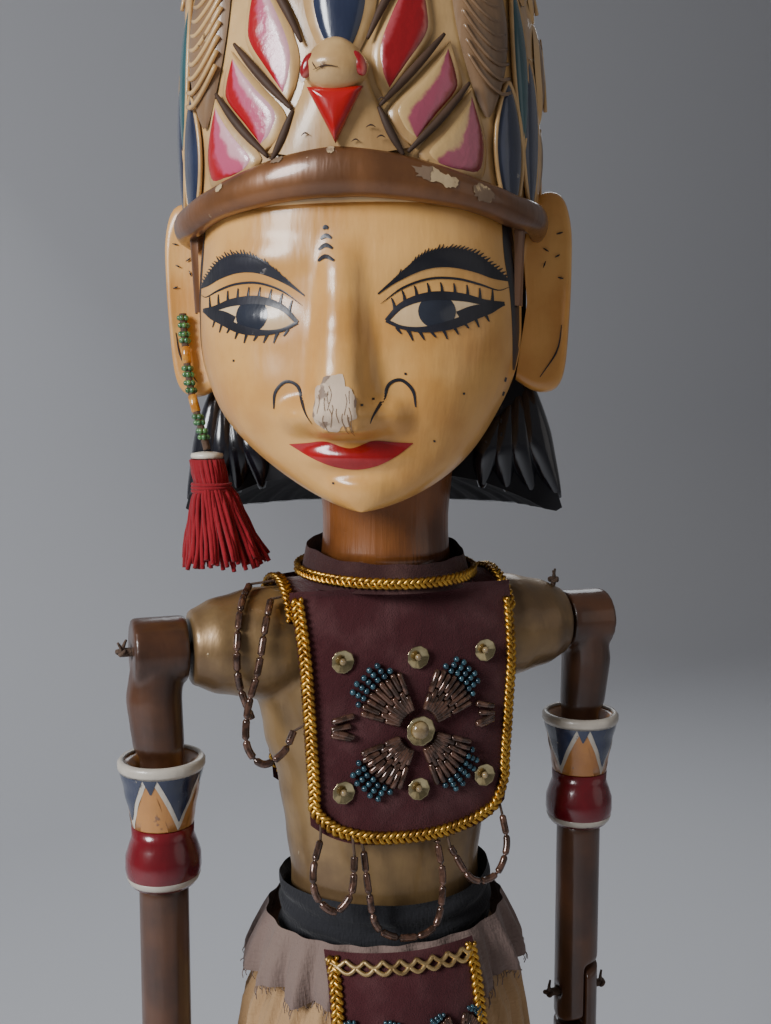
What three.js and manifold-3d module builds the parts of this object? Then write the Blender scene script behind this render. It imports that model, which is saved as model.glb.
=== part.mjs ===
// A wayang golek rod puppet on its display stand. Millimetres, +Z up, the torso faces -Y.
// The origin is the centre of the stand's underside, on the axis of the central rod.
// "left" and "right" are the puppet's own, so its left side is +X.
import * as THREE from "three";
import { mergeVertices } from "three/addons/utils/BufferGeometryUtils.js";
import Module from "manifold-3d";

const wasm = await Module();
wasm.setup();

// ---------- driving dimensions ----------
const GAP = 0.3; // between pieces that touch
const STAND = { radius: 60, height: 34, socketRadius: 6.3, socketFloor: 10 };
const ROD = { radius: 6, gripRadius: 11, top: 508 };
const HIP_Z = 352; // where the torso rests on the rod's shoulder
const TORSO_TOP_Z = 456;
const SHOULDER_Z = 444; // axis of both shoulder joints
const SHOULDER_END_X = 53.5;
const ARM = { x: 61, radius: 6.5, bandRadius: 5.6, humpRadius: 8.6, humpIn: 54.3, humpOut: 68 };
const ELBOW_Z = 331;
const TONGUE = { radius: 8.9, clearance: 0.6, innerX: 60.7, outerX: 61.1 }; // the elbow's two half laps
const PALM_Z = 236; // where the hand rod is tied
const HAND_ROD = { x: 68.6, radius: 2, eyeRadius: 3, foot: 17 };
const CORD_R = 1.2; // tie cords at the joints
const CORD_HOLE_R = 1.6;
const STRAND_R = 1.2; // strings of beads
const NECK_Z = 470; // pivot of the head's lean
const NECK = { radius: 17.5, bottom: 464.5, top: 489 };
const HEAD_TURN = THREE.MathUtils.degToRad(-26);
const HEAD_LEAN = THREE.MathUtils.degToRad(-0.7);
const HEAD_SIDE = -5; // the head sits a little off its neck, to its own right
const BORE = ROD.radius + GAP;
const BRIM_Z = 551; // underside of the crown

// ---------- materials ----------
const paint = (color, roughness, metalness = 0) =>
  new THREE.MeshStandardMaterial({ color, roughness, metalness });
const MATERIAL = {
  darkWood: paint(0x4a2b18, 0.5),
  face: paint(0xe0b070, 0.3),
  bronze: paint(0x7a5228, 0.4, 0.2),
  gold: paint(0xa08850, 0.4, 0.3),
  crown: paint(0xcfae78, 0.35),
  hair: paint(0x0b0b0f, 0.2),
  armBand: paint(0x26324a, 0.4),
  armRing: paint(0x8a1f2c, 0.4),
  red: paint(0xa01018, 0.9),
  beads: paint(0x2f6b3a, 0.3),
  bone: paint(0xd8d0c0, 0.4),
  velvet: paint(0x4a1420, 0.95),
  braid: paint(0xc08a2a, 0.35, 0.8),
  copperBeads: paint(0x6b4238, 0.3, 0.3),
  sequin: paint(0xc8c0a0, 0.2, 0.8),
  belt: paint(0x14161c, 0.7),
  cloth: paint(0xa8855a, 0.9),
  mauve: paint(0x6e5550, 0.9),
  armPaint: paint(0x5c3a22, 0.4),
  string: paint(0x3a2418, 0.9),
  horn: paint(0x2a1c14, 0.4),
};

// ---------- helpers ----------
// A geometry with shared vertices and all faces pointing out.
function closed(geometry) {
  const plain = geometry.index ? geometry.toNonIndexed() : geometry.clone();
  const bare = new THREE.BufferGeometry().setAttribute("position", plain.getAttribute("position"));
  const merged = mergeVertices(bare, 1e-3);
  const p = merged.attributes.position;
  const index = merged.index.array;
  const [a, b, c] = [new THREE.Vector3(), new THREE.Vector3(), new THREE.Vector3()];
  let volume = 0;
  for (let i = 0; i < index.length; i += 3) {
    a.fromBufferAttribute(p, index[i]);
    b.fromBufferAttribute(p, index[i + 1]);
    c.fromBufferAttribute(p, index[i + 2]);
    volume += a.dot(b.cross(c));
  }
  if (volume < 0) {
    for (let i = 0; i < index.length; i += 3) {
      [index[i], index[i + 1]] = [index[i + 1], index[i]];
    }
  }
  return merged;
}

function solid(geometry) {
  const g = closed(geometry);
  return new wasm.Manifold(
    new wasm.Mesh({
      numProp: 3,
      vertProperties: g.attributes.position.array,
      triVerts: new Uint32Array(g.index.array),
    }),
  );
}

function geometryOf(manifold) {
  const mesh = manifold.getMesh();
  return new THREE.BufferGeometry()
    .setAttribute("position", new THREE.BufferAttribute(mesh.vertProperties, 3))
    .setIndex(new THREE.BufferAttribute(mesh.triVerts, 1));
}

// A body turned about Z from [radius, height] points that run up one side.
function turned(profile, segments = 24, x = 0, y = 0) {
  const points = profile.map(([r, z]) => new THREE.Vector2(r, z));
  return new THREE.LatheGeometry(points, segments).rotateX(Math.PI / 2).translate(x, y, 0);
}

function box(x0, x1, y0, y1, z0, z1) {
  const middle = [(x0 + x1) / 2, (y0 + y1) / 2, (z0 + z1) / 2];
  return new THREE.BoxGeometry(x1 - x0, y1 - y0, z1 - z0).translate(...middle);
}

function barAlongX(x0, x1, radius, z, segments = 12, y = 0) {
  return new THREE.CylinderGeometry(radius, radius, x1 - x0, segments)
    .rotateZ(Math.PI / 2)
    .translate((x0 + x1) / 2, y, z);
}

// A closed body through rings of points, with a fan over each end.
function loft(rings) {
  const triangles = [];
  const n = rings[0].length;
  for (let i = 0; i + 1 < rings.length; i++) {
    for (let j = 0; j < n; j++) {
      const k = (j + 1) % n;
      const [low, high] = [rings[i], rings[i + 1]];
      triangles.push(low[j], low[k], high[k], low[j], high[k], high[j]);
    }
  }
  for (const [ring, flip] of [[rings[0], true], [rings.at(-1), false]]) {
    const centre = ring.reduce((sum, p) => sum.add(p), new THREE.Vector3()).divideScalar(n);
    for (let j = 0; j < n; j++) {
      const [p, q] = [ring[j], ring[(j + 1) % n]];
      triangles.push(...(flip ? [centre, q, p] : [centre, p, q]));
    }
  }
  return new THREE.BufferGeometry().setFromPoints(triangles);
}

function ellipseRing(z, halfX, halfY, count = 24, x = 0, y = 0) {
  return Array.from({ length: count }, (_, i) => {
    const a = (2 * Math.PI * i) / count;
    return new THREE.Vector3(x + halfX * Math.cos(a), y + halfY * Math.sin(a), z);
  });
}

// A thin closed panel between two surfaces, each a function of (u, v) from 0 to 1.
function panel(nu, nv, outside, inside) {
  const rings = [];
  for (let j = 0; j <= nv; j++) {
    const across = [];
    for (let i = 0; i <= nu; i++) across.push(outside(i / nu, j / nv));
    for (let i = nu; i >= 0; i--) across.push(inside(i / nu, j / nv));
    rings.push(across);
  }
  const triangles = [];
  const n = rings[0].length;
  for (let j = 0; j < nv; j++) {
    for (let i = 0; i < n; i++) {
      const k = (i + 1) % n;
      const [low, high] = [rings[j], rings[j + 1]];
      triangles.push(low[i], low[k], high[k], low[i], high[k], high[i]);
    }
  }
  for (const [ring, flip] of [[rings[0], true], [rings[nv], false]]) {
    for (let i = 0; i < nu; i++) {
      const quad = [ring[i], ring[i + 1], ring[n - 2 - i], ring[n - 1 - i]];
      if (flip) quad.reverse();
      triangles.push(quad[0], quad[1], quad[2], quad[0], quad[2], quad[3]);
    }
  }
  return new THREE.BufferGeometry().setFromPoints(triangles);
}

// A closed ring-shaped body through rings of points, the last joined to the first.
function ringLoop(rows) {
  const triangles = [];
  const n = rows[0].length;
  rows.forEach((here, i) => {
    const next = rows[(i + 1) % rows.length];
    for (let j = 0; j < n; j++) {
      const k = (j + 1) % n;
      triangles.push(here[j], here[k], next[k], here[j], next[k], next[j]);
    }
  });
  return new THREE.BufferGeometry().setFromPoints(triangles);
}

// An upright elliptical tube: rows are [height, half width, half depth] from top to bottom.
function sleeve(rows, thickness, segments = 24) {
  const outer = rows.map(([z, a, b]) => ellipseRing(z, a, b, segments));
  const inner = rows.map(([z, a, b]) => ellipseRing(z, a - thickness, b - thickness, segments));
  return ringLoop([...outer, ...inner.reverse()]);
}

// A round cord along a smooth curve through points.
function cordAlong(points, radius, steps, sides = 8) {
  const section = new THREE.Shape();
  for (let i = 0; i < sides; i++) {
    const a = (2 * Math.PI * i) / sides;
    const [x, y] = [radius * Math.cos(a), radius * Math.sin(a)];
    if (i === 0) section.moveTo(x, y);
    else section.lineTo(x, y);
  }
  const path = new THREE.CatmullRomCurve3(points.map((p) => new THREE.Vector3(...p)));
  return new THREE.ExtrudeGeometry(section, { extrudePath: path, steps, curveSegments: 1 });
}

const puppet = new THREE.Group();
// The head's own group: it leans on its neck and looks to the puppet's right.
const head = new THREE.Group();
head.position.set(HEAD_SIDE * Math.cos(HEAD_TURN), HEAD_SIDE * Math.sin(HEAD_TURN), NECK_Z);
head.rotation.set(0, HEAD_LEAN, HEAD_TURN, "ZYX");
puppet.add(head);

function add(name, geometry, material, group = puppet) {
  const mesh = new THREE.Mesh(closed(geometry), material);
  mesh.name = name;
  group.add(mesh);
  return mesh;
}

// ---------- stand and central rod ----------
function makeStand() {
  const { radius, height, socketRadius, socketFloor } = STAND;
  const profile = [
    [0, 0], [radius, 0], [radius, 9], [radius - 6, 13], [radius - 13, 15], [radius - 17, 21],
    [26, 26], [19, height], [socketRadius, height], [socketRadius, socketFloor], [0, socketFloor],
  ];
  add("stand_base", turned(profile, 32), MATERIAL.darkWood);
}

function makeRod() {
  const { radius, gripRadius, top } = ROD;
  const profile = [
    [0, STAND.socketFloor + GAP], [radius, STAND.socketFloor + GAP], [radius, STAND.height + GAP],
    [gripRadius, STAND.height + GAP], [gripRadius + 1, 60], [gripRadius - 2, 110], [8.5, 160],
    [9.5, HIP_Z - GAP], [radius, HIP_Z - GAP], [radius, top], [0, top],
  ];
  add("central_rod", turned(profile, 20), MATERIAL.darkWood);
}

// ---------- head ----------
// Heights in the head's group count from the pivot of its lean.
const local = (z) => z - NECK_Z;
const CHIN = local(480.5);
const CHEEK = local(522);
const HEAD_TOP = local(BRIM_Z) - GAP;
const SOCKET_TOP = local(490); // roof of the neck's socket in the head
const NOSE = { tip: local(499), root: local(540), length: 8, spread: 6 };

// One horizontal outline of the head: a pointed oval that narrows to the chin.
function headRing(z, grow, count = 28) {
  const t = Math.max(0, (CHEEK - z) / (CHEEK - CHIN));
  const swell = Math.max(1e-4, 1 - t * t);
  const halfX = 0.6 + 42 * Math.pow(swell, 0.75) + grow;
  const front = -40 + 4 * t * t - grow;
  const back = -27 + 62 * Math.pow(swell, 0.6) + grow;
  const [halfY, centreY] = [(back - front) / 2, (back + front) / 2];
  const rise = Math.min((z - NOSE.tip) / 5, (NOSE.root - z) / 32, 1);
  const nose = NOSE.length * Math.max(0, rise);
  return Array.from({ length: count }, (_, i) => {
    const a = (2 * Math.PI * i) / count;
    const x = halfX * Math.sin(a);
    const y = centreY - halfY * Math.cos(a);
    const ridge = y < centreY ? nose * Math.exp(-((x / NOSE.spread) ** 2)) : 0;
    return new THREE.Vector3(x, y - ridge, z);
  });
}

function headSolid(grow = 0) {
  const steps = 13;
  const rings = [];
  for (let i = 0; i <= steps; i++) {
    const s = i / steps;
    const drop = i === 0 ? grow : 0;
    rings.push(headRing(CHIN + (HEAD_TOP - CHIN) * (0.6 * s + 0.4 * s * s) - drop, grow));
  }
  return solid(loft(rings));
}

// An upright cylinder on the rod's axis, in the leaning head's group.
function uprightHole(radius, top) {
  const profile = [[0, -30], [radius, -30], [radius, top], [0, top]];
  return solid(turned(profile, 20, -HEAD_SIDE).rotateY(-HEAD_LEAN));
}

function crownDome(grow) {
  const [low, high] = [local(BRIM_Z), local(655)];
  const points = [[0, low - grow], [45.5 + grow, low - grow]];
  const steps = 8;
  for (let i = 1; i <= steps; i++) {
    const s = i / steps;
    const radius = 45.5 * Math.pow(1 - Math.pow(s, 3.2), 0.62) + 3 * s;
    points.push([radius + grow, low + (high - low) * s]);
  }
  return turned([...points, [0, high]], 24);
}

function crownBand(grow) {
  const [low, brim, high] = [local(547) - grow, local(BRIM_Z), local(564) + grow];
  const inside = 46.3;
  const lip = 43.2 - grow;
  const profile = [
    [lip, low], [47 + grow, low], [49.4 + grow, brim], [49.2 + grow, local(558)], [47.6 + grow, high],
    [inside, high], [inside, brim], [lip, brim], [lip, low],
  ];
  return turned(profile, 28);
}

function makeHead() {
  const sockets = uprightHole(NECK.radius + 0.5, SOCKET_TOP).add(uprightHole(BORE, local(ROD.top + 1)));
  add("head", geometryOf(headSolid().subtract(sockets)), MATERIAL.face, head);
  const neck = [
    [BORE, NECK.bottom], [NECK.radius, NECK.bottom], [NECK.radius - 0.8, 474],
    [NECK.radius, NECK.top], [BORE, NECK.top], [BORE, NECK.bottom],
  ];
  add("neck", turned(neck, 20), MATERIAL.bronze);
  add("crown", crownDome(0), MATERIAL.crown, head);
  add("crown_band", crownBand(0), MATERIAL.bronze, head);
  const knob = local(655) + GAP;
  const finial = [
    [0, knob], [6, knob], [4.5, knob + 3], [7.5, knob + 8], [6, knob + 12], [2, knob + 16], [0, knob + 17],
  ];
  add("crown_finial", turned(finial, 14), MATERIAL.bronze, head);

  const keepClear = headSolid(GAP).add(solid(crownDome(GAP))).add(solid(crownBand(GAP)));
  makeBirdHead(keepClear);
  makeEars(keepClear);
  makeHair(keepClear);
}

// A small carved bird's head on the front of the crown, with a beak that points down.
function makeBirdHead(keepClear) {
  const skull = new THREE.SphereGeometry(7.4, 12, 8).scale(1, 1.1, 1).translate(0, -50.5, local(585));
  const beak = new THREE.ConeGeometry(5.4, 17, 8).rotateX(Math.PI - 0.12).translate(0, -54.5, local(573));
  const breast = new THREE.SphereGeometry(11, 12, 8).scale(1.1, 0.6, 0.9).translate(0, -45.5, local(573.5));
  const bird = solid(skull).add(solid(beak)).add(solid(breast)).subtract(keepClear);
  add("crown_bird_head", geometryOf(largest(bird)), MATERIAL.crown, head);
}

function largest(manifold) {
  return manifold.decompose().sort((a, b) => b.volume() - a.volume())[0];
}

const EAR_FACE_Y = 2;
function makeEars(keepClear) {
  for (const [name, side] of [["ear_left", 1], ["ear_right", -1]]) {
    const outline = new THREE.Shape();
    outline.moveTo(38, local(511));
    outline.lineTo(48, local(508.5));
    outline.quadraticCurveTo(53, local(510), 53.6, local(517));
    outline.lineTo(54.6, local(540));
    outline.quadraticCurveTo(55, local(556), 50.5, local(560.5));
    outline.quadraticCurveTo(45, local(562), 42, local(548));
    outline.lineTo(38, local(530));
    const plate = new THREE.ExtrudeGeometry(outline, { depth: 6, bevelEnabled: false, curveSegments: 4 });
    plate.rotateX(Math.PI / 2).translate(0, EAR_FACE_Y + 6, 0).scale(side, 1, 1);
    add(name, geometryOf(largest(solid(plate).subtract(keepClear))), MATERIAL.face, head);
  }
}

// A bell of hair round the back of the head, with its lower edge curling outwards.
function makeHair(keepClear) {
  const top = local(546);
  const profile = [
    [0, local(487)], [30, local(486)], [42, local(481)], [50, local(476.5)], [54, local(477.5)],
    [49, local(488)], [45, local(500)], [43.6, local(515)], [45, local(532)], [44.6, top], [0, top],
  ];
  const front = solid(box(-80, 80, -80, EAR_FACE_Y + 6.3, local(450), local(560)));
  const hair = solid(turned(profile, 28)).subtract(front).subtract(keepClear);
  add("hair", geometryOf(largest(hair.subtract(uprightHole(20, local(515))))), MATERIAL.hair, head);
}

// A string of beads from the right ear down to a tassel of yarn; both turn with the head.
const EAR_STRING = [
  [-49.5, 24.4, 530.4], [-48.8, 23.1, 517], [-47.7, 20.8, 507], [-46, 18.4, 499.5], [-44.8, 17.4, 493.8],
];
const TASSEL = { x: -44.8, y: 17.4, top: 491.2, bottom: 462.4, leanX: 3.9, leanY: -4.1 };
function makeTassel() {
  const { x, y, top, bottom, leanX, leanY } = TASSEL;
  add("ear_bead_string", cordAlong(EAR_STRING, 1.5, 10), MATERIAL.beads);
  const disc = [[0, top + GAP], [4.4, top + GAP], [4.4, top + 2], [0, top + 2]];
  add("tassel_cap", turned(disc, 12, x, y), MATERIAL.bone);
  const yarn = [[bottom, 12], [466, 11.4], [473, 9.2], [480, 7.2], [484.5, 5], [488.5, 5.6], [top, 4.6]];
  const rings = yarn.map(([z, radius]) => {
    const lean = (top - z) / (top - bottom);
    return ellipseRing(z, radius, radius, 14, x + leanX * lean, y + leanY * lean);
  });
  add("tassel", loft(rings), MATERIAL.red);
}

// ---------- torso ----------
const SHOULDER_R = 14.6;
function makeTorso() {
  const rows = [
    [HIP_Z, 25, 21], [370, 27, 21], [380, 26.5, 20], [392, 28, 20], [406, 30, 20.5],
    [420, 34, 21], [432, 36, 20.5], [442, 34, 19], [450, 29, 17.5], [TORSO_TOP_Z, 23, 16.5],
  ];
  const trunk = solid(loft(rows.map(([z, a, b]) => ellipseRing(z, a, b))));
  const yoke = [
    [0, -SHOULDER_END_X], [9.6, -SHOULDER_END_X], [12.6, -46], [SHOULDER_R, -36],
    [SHOULDER_R, 36], [12.6, 46], [9.6, SHOULDER_END_X], [0, SHOULDER_END_X],
  ];
  const shoulders = solid(turned(yoke, 20).rotateY(Math.PI / 2).translate(0, 0, SHOULDER_Z));
  const bore = solid(turned([[0, 340], [BORE, 340], [BORE, 470], [0, 470]], 20));
  let torso = trunk.add(shoulders).subtract(bore);
  for (const side of [-1, 1]) {
    const ends = [side * (SHOULDER_END_X - 6), side * (SHOULDER_END_X + 1)].sort((a, b) => a - b);
    torso = torso.subtract(solid(barAlongX(ends[0], ends[1], CORD_HOLE_R, SHOULDER_Z, 10)));
  }
  add("torso", geometryOf(torso), MATERIAL.gold);
  const knot = new THREE.SphereGeometry(1.8, 8, 6).translate(50.5, -2, SHOULDER_Z + 12.9);
  add("shoulder_knot_left", knot, MATERIAL.string);
}

// ---------- vest ----------
const BIB = { top: 457.5, bottom: 396, halfTop: 30.5, halfBottom: 27, depth: 23.6, thickness: 1.8 };

function bibDepth(s, v) {
  const tuck = 5.6 * Math.pow(Math.max(0, 1 - 3.2 * v), 1.5);
  return BIB.depth - tuck - 4.4 * s * s;
}

// A point on the bib: it curves back at the sides and top and rounds its lower corners.
function bibPoint(u, v, lift = 0, side = -1) {
  const s = 2 * u - 1;
  const x = s * (BIB.halfTop + (BIB.halfBottom - BIB.halfTop) * v);
  const corner = 6 * Math.pow(Math.abs(s), 4) * Math.pow(v, 3);
  const z = BIB.top + (BIB.bottom - BIB.top) * v + corner;
  return new THREE.Vector3(x, side * (bibDepth(s, v) + lift), z);
}

// An upright ring whose height rises by tilt towards the back.
function tiltedRing(radius, z, tilt) {
  return ellipseRing(z, radius, radius).map((p) => p.setZ(z + (tilt * p.y) / radius));
}

function makeVest() {
  for (const [name, side] of [["bib_front", -1], ["bib_back", 1]]) {
    const outside = (u, v) => bibPoint(u, v, 0, side);
    const inside = (u, v) => bibPoint(u, v, -BIB.thickness, side);
    add(name, panel(8, 8, outside, inside), MATERIAL.velvet);
  }
  for (const [name, side] of [["shoulder_strap_left", 1], ["shoulder_strap_right", -1]]) {
    const strap = (radius) => (u, v) => {
      const a = (v - 0.5) * 1.7;
      const x = side * (23.4 + 7 * u);
      return new THREE.Vector3(x, radius * Math.sin(a), SHOULDER_Z + radius * Math.cos(a));
    };
    const inner = SHOULDER_R + 0.5;
    add(name, panel(1, 8, strap(inner + 1.4), strap(inner)), MATERIAL.velvet);
  }
  const collar = [
    tiltedRing(22.6, 459.4, 0), tiltedRing(20.8, 467.6, 2.6),
    tiltedRing(19.4, 467.6, 2.6), tiltedRing(21.2, 459.4, 0),
  ];
  add("collar", ringLoop(collar), MATERIAL.velvet);
  const braid = [
    tiltedRing(24.6, 461.2, 0.8), tiltedRing(24, 464, 1.4),
    tiltedRing(22.9, 464, 1.4), tiltedRing(23.4, 461.2, 0.8),
  ];
  add("collar_braid", ringLoop(braid), MATERIAL.braid);

  const edge = [];
  const [inset, top, bottom, lift] = [0.06, 0.08, 0.94, 1.8];
  for (let i = 0; i <= 5; i++) edge.push(bibPoint(inset, top + (0.74 * i) / 5, lift));
  for (let i = 1; i <= 5; i++) edge.push(bibPoint(inset + ((1 - 2 * inset) * i) / 6, bottom, lift));
  for (let i = 5; i >= 0; i--) edge.push(bibPoint(1 - inset, top + (0.74 * i) / 5, lift));
  add("bib_braid", cordAlong(edge.map((p) => p.toArray()), 1.2, 36, 6), MATERIAL.braid);
}

// ---------- flower and sequins on the bib ----------
const FLOWER = { z: 424, petals: 4, tip: 21, waist: 5, spread: 0.2 };
const SEQUIN = { radius: 2.7, thickness: 1, spacing: 19.4, top: 442.5, bottom: 408.6 };

function bibDepthAt(x, z) {
  const v = (BIB.top - z) / (BIB.top - BIB.bottom);
  return bibDepth(x / (BIB.halfTop + (BIB.halfBottom - BIB.halfTop) * v), v);
}

function makeFlower() {
  const corners = [
    [FLOWER.tip, -FLOWER.spread / 2], [FLOWER.tip, FLOWER.spread / 2], [13, 0.36],
    [FLOWER.waist, Math.PI / 4], [13, Math.PI / 2 - 0.36],
  ];
  const outline = [];
  for (let i = 0; i < FLOWER.petals; i++) {
    for (const [radius, turn] of corners) {
      const a = (i + 0.5) * (Math.PI / 2) + turn;
      outline.push(new THREE.Vector2(radius * Math.cos(a), radius * Math.sin(a)));
    }
  }
  const shape = new THREE.Shape(outline);
  const petals = new THREE.ExtrudeGeometry(shape, { depth: 1.3, bevelEnabled: false });
  petals.rotateX(Math.PI / 2).translate(0, 0, FLOWER.z);
  const p = petals.attributes.position;
  for (let i = 0; i < p.count; i++) p.setY(i, p.getY(i) - bibDepthAt(p.getX(i), p.getZ(i)) - 0.5);
  add("bead_flower", petals, MATERIAL.copperBeads);
  addSequin("flower_centre", 0, FLOWER.z, 3.6, 1.6, bibDepthAt(0, FLOWER.z) + 2.1);
  const rows = [["upper", SEQUIN.top], ["lower", SEQUIN.bottom]];
  for (const [row, z] of rows) {
    for (const [place, x] of [["right", -SEQUIN.spacing], ["middle", 0], ["left", SEQUIN.spacing]]) {
      const depth = bibDepthAt(Math.abs(x) - SEQUIN.radius, z) + 0.3;
      addSequin(`sequin_${row}_${place}`, x, z, SEQUIN.radius, SEQUIN.thickness, depth);
    }
  }
}

function addSequin(name, x, z, radius, thickness, depth) {
  const disc = new THREE.CylinderGeometry(radius, radius, thickness, 10);
  add(name, disc.translate(x, -depth - thickness / 2, z), MATERIAL.sequin);
}

// ---------- strings of beads that hang from the vest ----------
const STRANDS = {
  bead_loop_outer: [
    [-34.5, -10.6, 457.2], [-37.2, -15.4, 451.4], [-39.6, -17.4, 441], [-42.4, -17.6, 431],
    [-42.8, -18.6, 422.5],
    [-39.2, -20, 418], [-34, -19.8, 420.4], [-31, -18.4, 425],
  ],
  bead_loop_inner: [
    [-38.2, -3, 460], [-42, -9.9, 455.8], [-44.2, -14.6, 446], [-43.6, -14, 437], [-40.6, -14, 428],
  ],
  bead_swag_right: [
    [-25.2, -21.6, 397.4], [-28, -24.8, 391], [-27.4, -26, 384.8], [-23.2, -27.2, 381], [-19, -27.4, 385.2],
    [-17.4, -25.2, 393.4],
  ],
  bead_swag_middle: [
    [-14.4, -23.4, 393.8], [-14, -26.4, 384], [-12, -27.6, 375], [-4.6, -28.2, 371.4], [3.4, -28, 373.4],
    [6, -26.6, 384], [5.6, -23.6, 393.8],
  ],
  bead_swag_left: [
    [25.2, -21.6, 397.4], [25, -24.8, 390], [21, -26.6, 383.6], [14, -27.2, 383.6], [8.8, -25, 392],
  ],
};
function makeStrands() {
  for (const [name, route] of Object.entries(STRANDS)) {
    const curve = new THREE.CatmullRomCurve3(route.map((p) => new THREE.Vector3(...p)));
    const steps = Math.round(curve.getLength() / (5 * STRAND_R));
    add(name, cordAlong(route, STRAND_R, steps), MATERIAL.copperBeads);
  }
}

// ---------- belt, skirt and apron ----------
// Rows of [height, half width, half depth] from top to bottom, of the outer face.
const SKIRT = [
  [364.2, 29.6, 24.6], [356, 34.5, 29], [345, 40, 34], [320, 44.5, 37.5], [260, 47.5, 40.5], [95, 51, 45.5],
];
const FRILL = [[372.5, 31.6, 26.6], [367, 34.4, 29.4], [361.5, 36.6, 31.6], [357, 38, 33]];
const APRON_BACK = [
  [370, 33.4, 28.6], [361.5, 37.8, 32.8], [356, 39.4, 34.4], [340, 43.8, 37.4],
  [300, 47, 40], [245, 49, 42.3],
];
const APRON = { top: 369, bottom: 248, thickness: 1.8, left: 17, right: -28 };

function rowAt(rows, z) {
  const i = Math.max(1, rows.findIndex((row) => row[0] <= z));
  const t = (rows[i - 1][0] - z) / (rows[i - 1][0] - rows[i][0]);
  return [1, 2].map((k) => rows[i - 1][k] + t * (rows[i][k] - rows[i - 1][k]));
}

function makeSkirt() {
  add("belt", sleeve([[377.6, 29.2, 23.2], [371, 29.6, 24], [364.5, 29.6, 24]], 1.8), MATERIAL.belt);
  add("skirt", sleeve(SKIRT, 1.9, 28), MATERIAL.cloth);
  add("waist_frill", sleeve(FRILL, 1.5), MATERIAL.mauve);
  const apronPoint = (lift) => (u, v) => {
    const z = APRON.top + (APRON.bottom - APRON.top) * v;
    const narrow = 3.4 * Math.max(0, 1 - 6 * v);
    const x = APRON.right + narrow + (APRON.left - APRON.right - 2 * narrow) * u;
    const [a, b] = rowAt(APRON_BACK, z);
    return new THREE.Vector3(x, -b * Math.sqrt(1 - (x / a) ** 2) - lift, z);
  };
  add("apron", panel(7, 12, apronPoint(APRON.thickness), apronPoint(0)), MATERIAL.velvet);
}

// ---------- arms, hands and hand rods ----------
// Every piece is made for the left side and mirrored for the right.
function addPair(name, manifold, material) {
  for (const [suffix, side] of [["left", 1], ["right", -1]]) {
    add(`${name}_${suffix}`, geometryOf(manifold).scale(side, 1, 1), material);
  }
}

const ovalRing = ([z, x, halfX, halfY]) => ellipseRing(z, halfX, halfY, 14, x);

// A hole across the arm for a tie cord.
function cordHole(z) {
  return solid(barAlongX(50, 80, CORD_HOLE_R, z, 10));
}

// One half lap of the elbow: a slice of the arm's shaft with a round end about the pivot.
function elbowTongue(x0, x1, rises) {
  const { x, radius } = ARM;
  const ends = [ELBOW_Z - 12, ELBOW_Z + 12].map((z) => ovalRing([z, x, radius, radius]));
  const shaft = solid(loft(ends));
  const [low, high] = rises ? [ELBOW_Z, ELBOW_Z + 12] : [ELBOW_Z - 12, ELBOW_Z];
  const slab = solid(box(x0, x1, -TONGUE.radius, TONGUE.radius, low, high));
  const end = solid(barAlongX(x0, x1, TONGUE.radius, ELBOW_Z, 20));
  return shaft.intersect(slab.add(end));
}

function makeUpperArms() {
  const { x, radius, bandRadius, humpRadius, humpIn, humpOut } = ARM;
  const shaft = solid(loft([
    [ELBOW_Z + TONGUE.radius + TONGUE.clearance, x, radius, radius], [382.6, x, radius, radius],
    [383, x, bandRadius, bandRadius], [416.6, x, bandRadius, bandRadius], [419, x + 0.6, 6.6, 6.4],
    [432, x + 1.6, 7.2, 7.4], [SHOULDER_Z, x, 6.7, 8.2],
  ].map(ovalRing)));
  const hump = solid(barAlongX(humpIn, humpOut, humpRadius, SHOULDER_Z, 16));
  const arm = shaft.add(hump).add(elbowTongue(humpIn, TONGUE.innerX, true));
  const holes = cordHole(SHOULDER_Z).add(cordHole(ELBOW_Z));
  addPair("upper_arm", arm.subtract(holes), MATERIAL.armPaint);

  const bore = bandRadius + GAP;
  const band = [
    [bore, 399], [8, 399], [8.4, 402], [10.6, 414.6], [10.2, 416.2], [8.2, 415], [bore, 411], [bore, 399],
  ];
  addPair("armband", solid(turned(band, 16, x)), MATERIAL.armBand);
  const ring = [
    [bore, 383.3], [8.4, 383.3], [9.5, 387], [9.5, 392], [7.6, 395], [8, 398.7], [bore, 398.7], [bore, 383.3],
  ];
  addPair("arm_ring", solid(turned(ring, 16, x)), MATERIAL.armRing);
}

function makeForearms() {
  const { x, radius } = ARM;
  const shaftTop = ELBOW_Z - TONGUE.radius - TONGUE.clearance;
  const arm = solid(loft([
    [197, x, 2.2, 5.6], [205, x, 3, 8.2], [218, x, 3.6, 9.6], [228, x, 4, 10],
    [PALM_Z, x, 4.2, 9.4], [245, x, 4.4, 6.8],
    [254, x, 4.8, 4.9], [272, x, 5.5, 5.5], [300, x, 6.4, 6.4], [shaftTop, x, radius, radius],
  ].map(ovalRing)));
  const thumb = new THREE.CapsuleGeometry(2.4, 12, 3, 8).rotateX(0.5).translate(x, -11.2, 227);
  const tongue = elbowTongue(TONGUE.outerX, x + radius, false);
  const holes = cordHole(ELBOW_Z).add(cordHole(PALM_Z));
  addPair("forearm", arm.add(solid(thumb)).add(tongue).subtract(holes), MATERIAL.armPaint);
}

// A tie cord along X with a knot at one end or at both.
function tieCord(x0, x1, z, knots) {
  let cord = solid(barAlongX(x0, x1, CORD_R, z, 8));
  for (const x of knots) cord = cord.add(solid(new THREE.SphereGeometry(2.3, 8, 6).translate(x, 0, z)));
  return cord;
}

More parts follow.
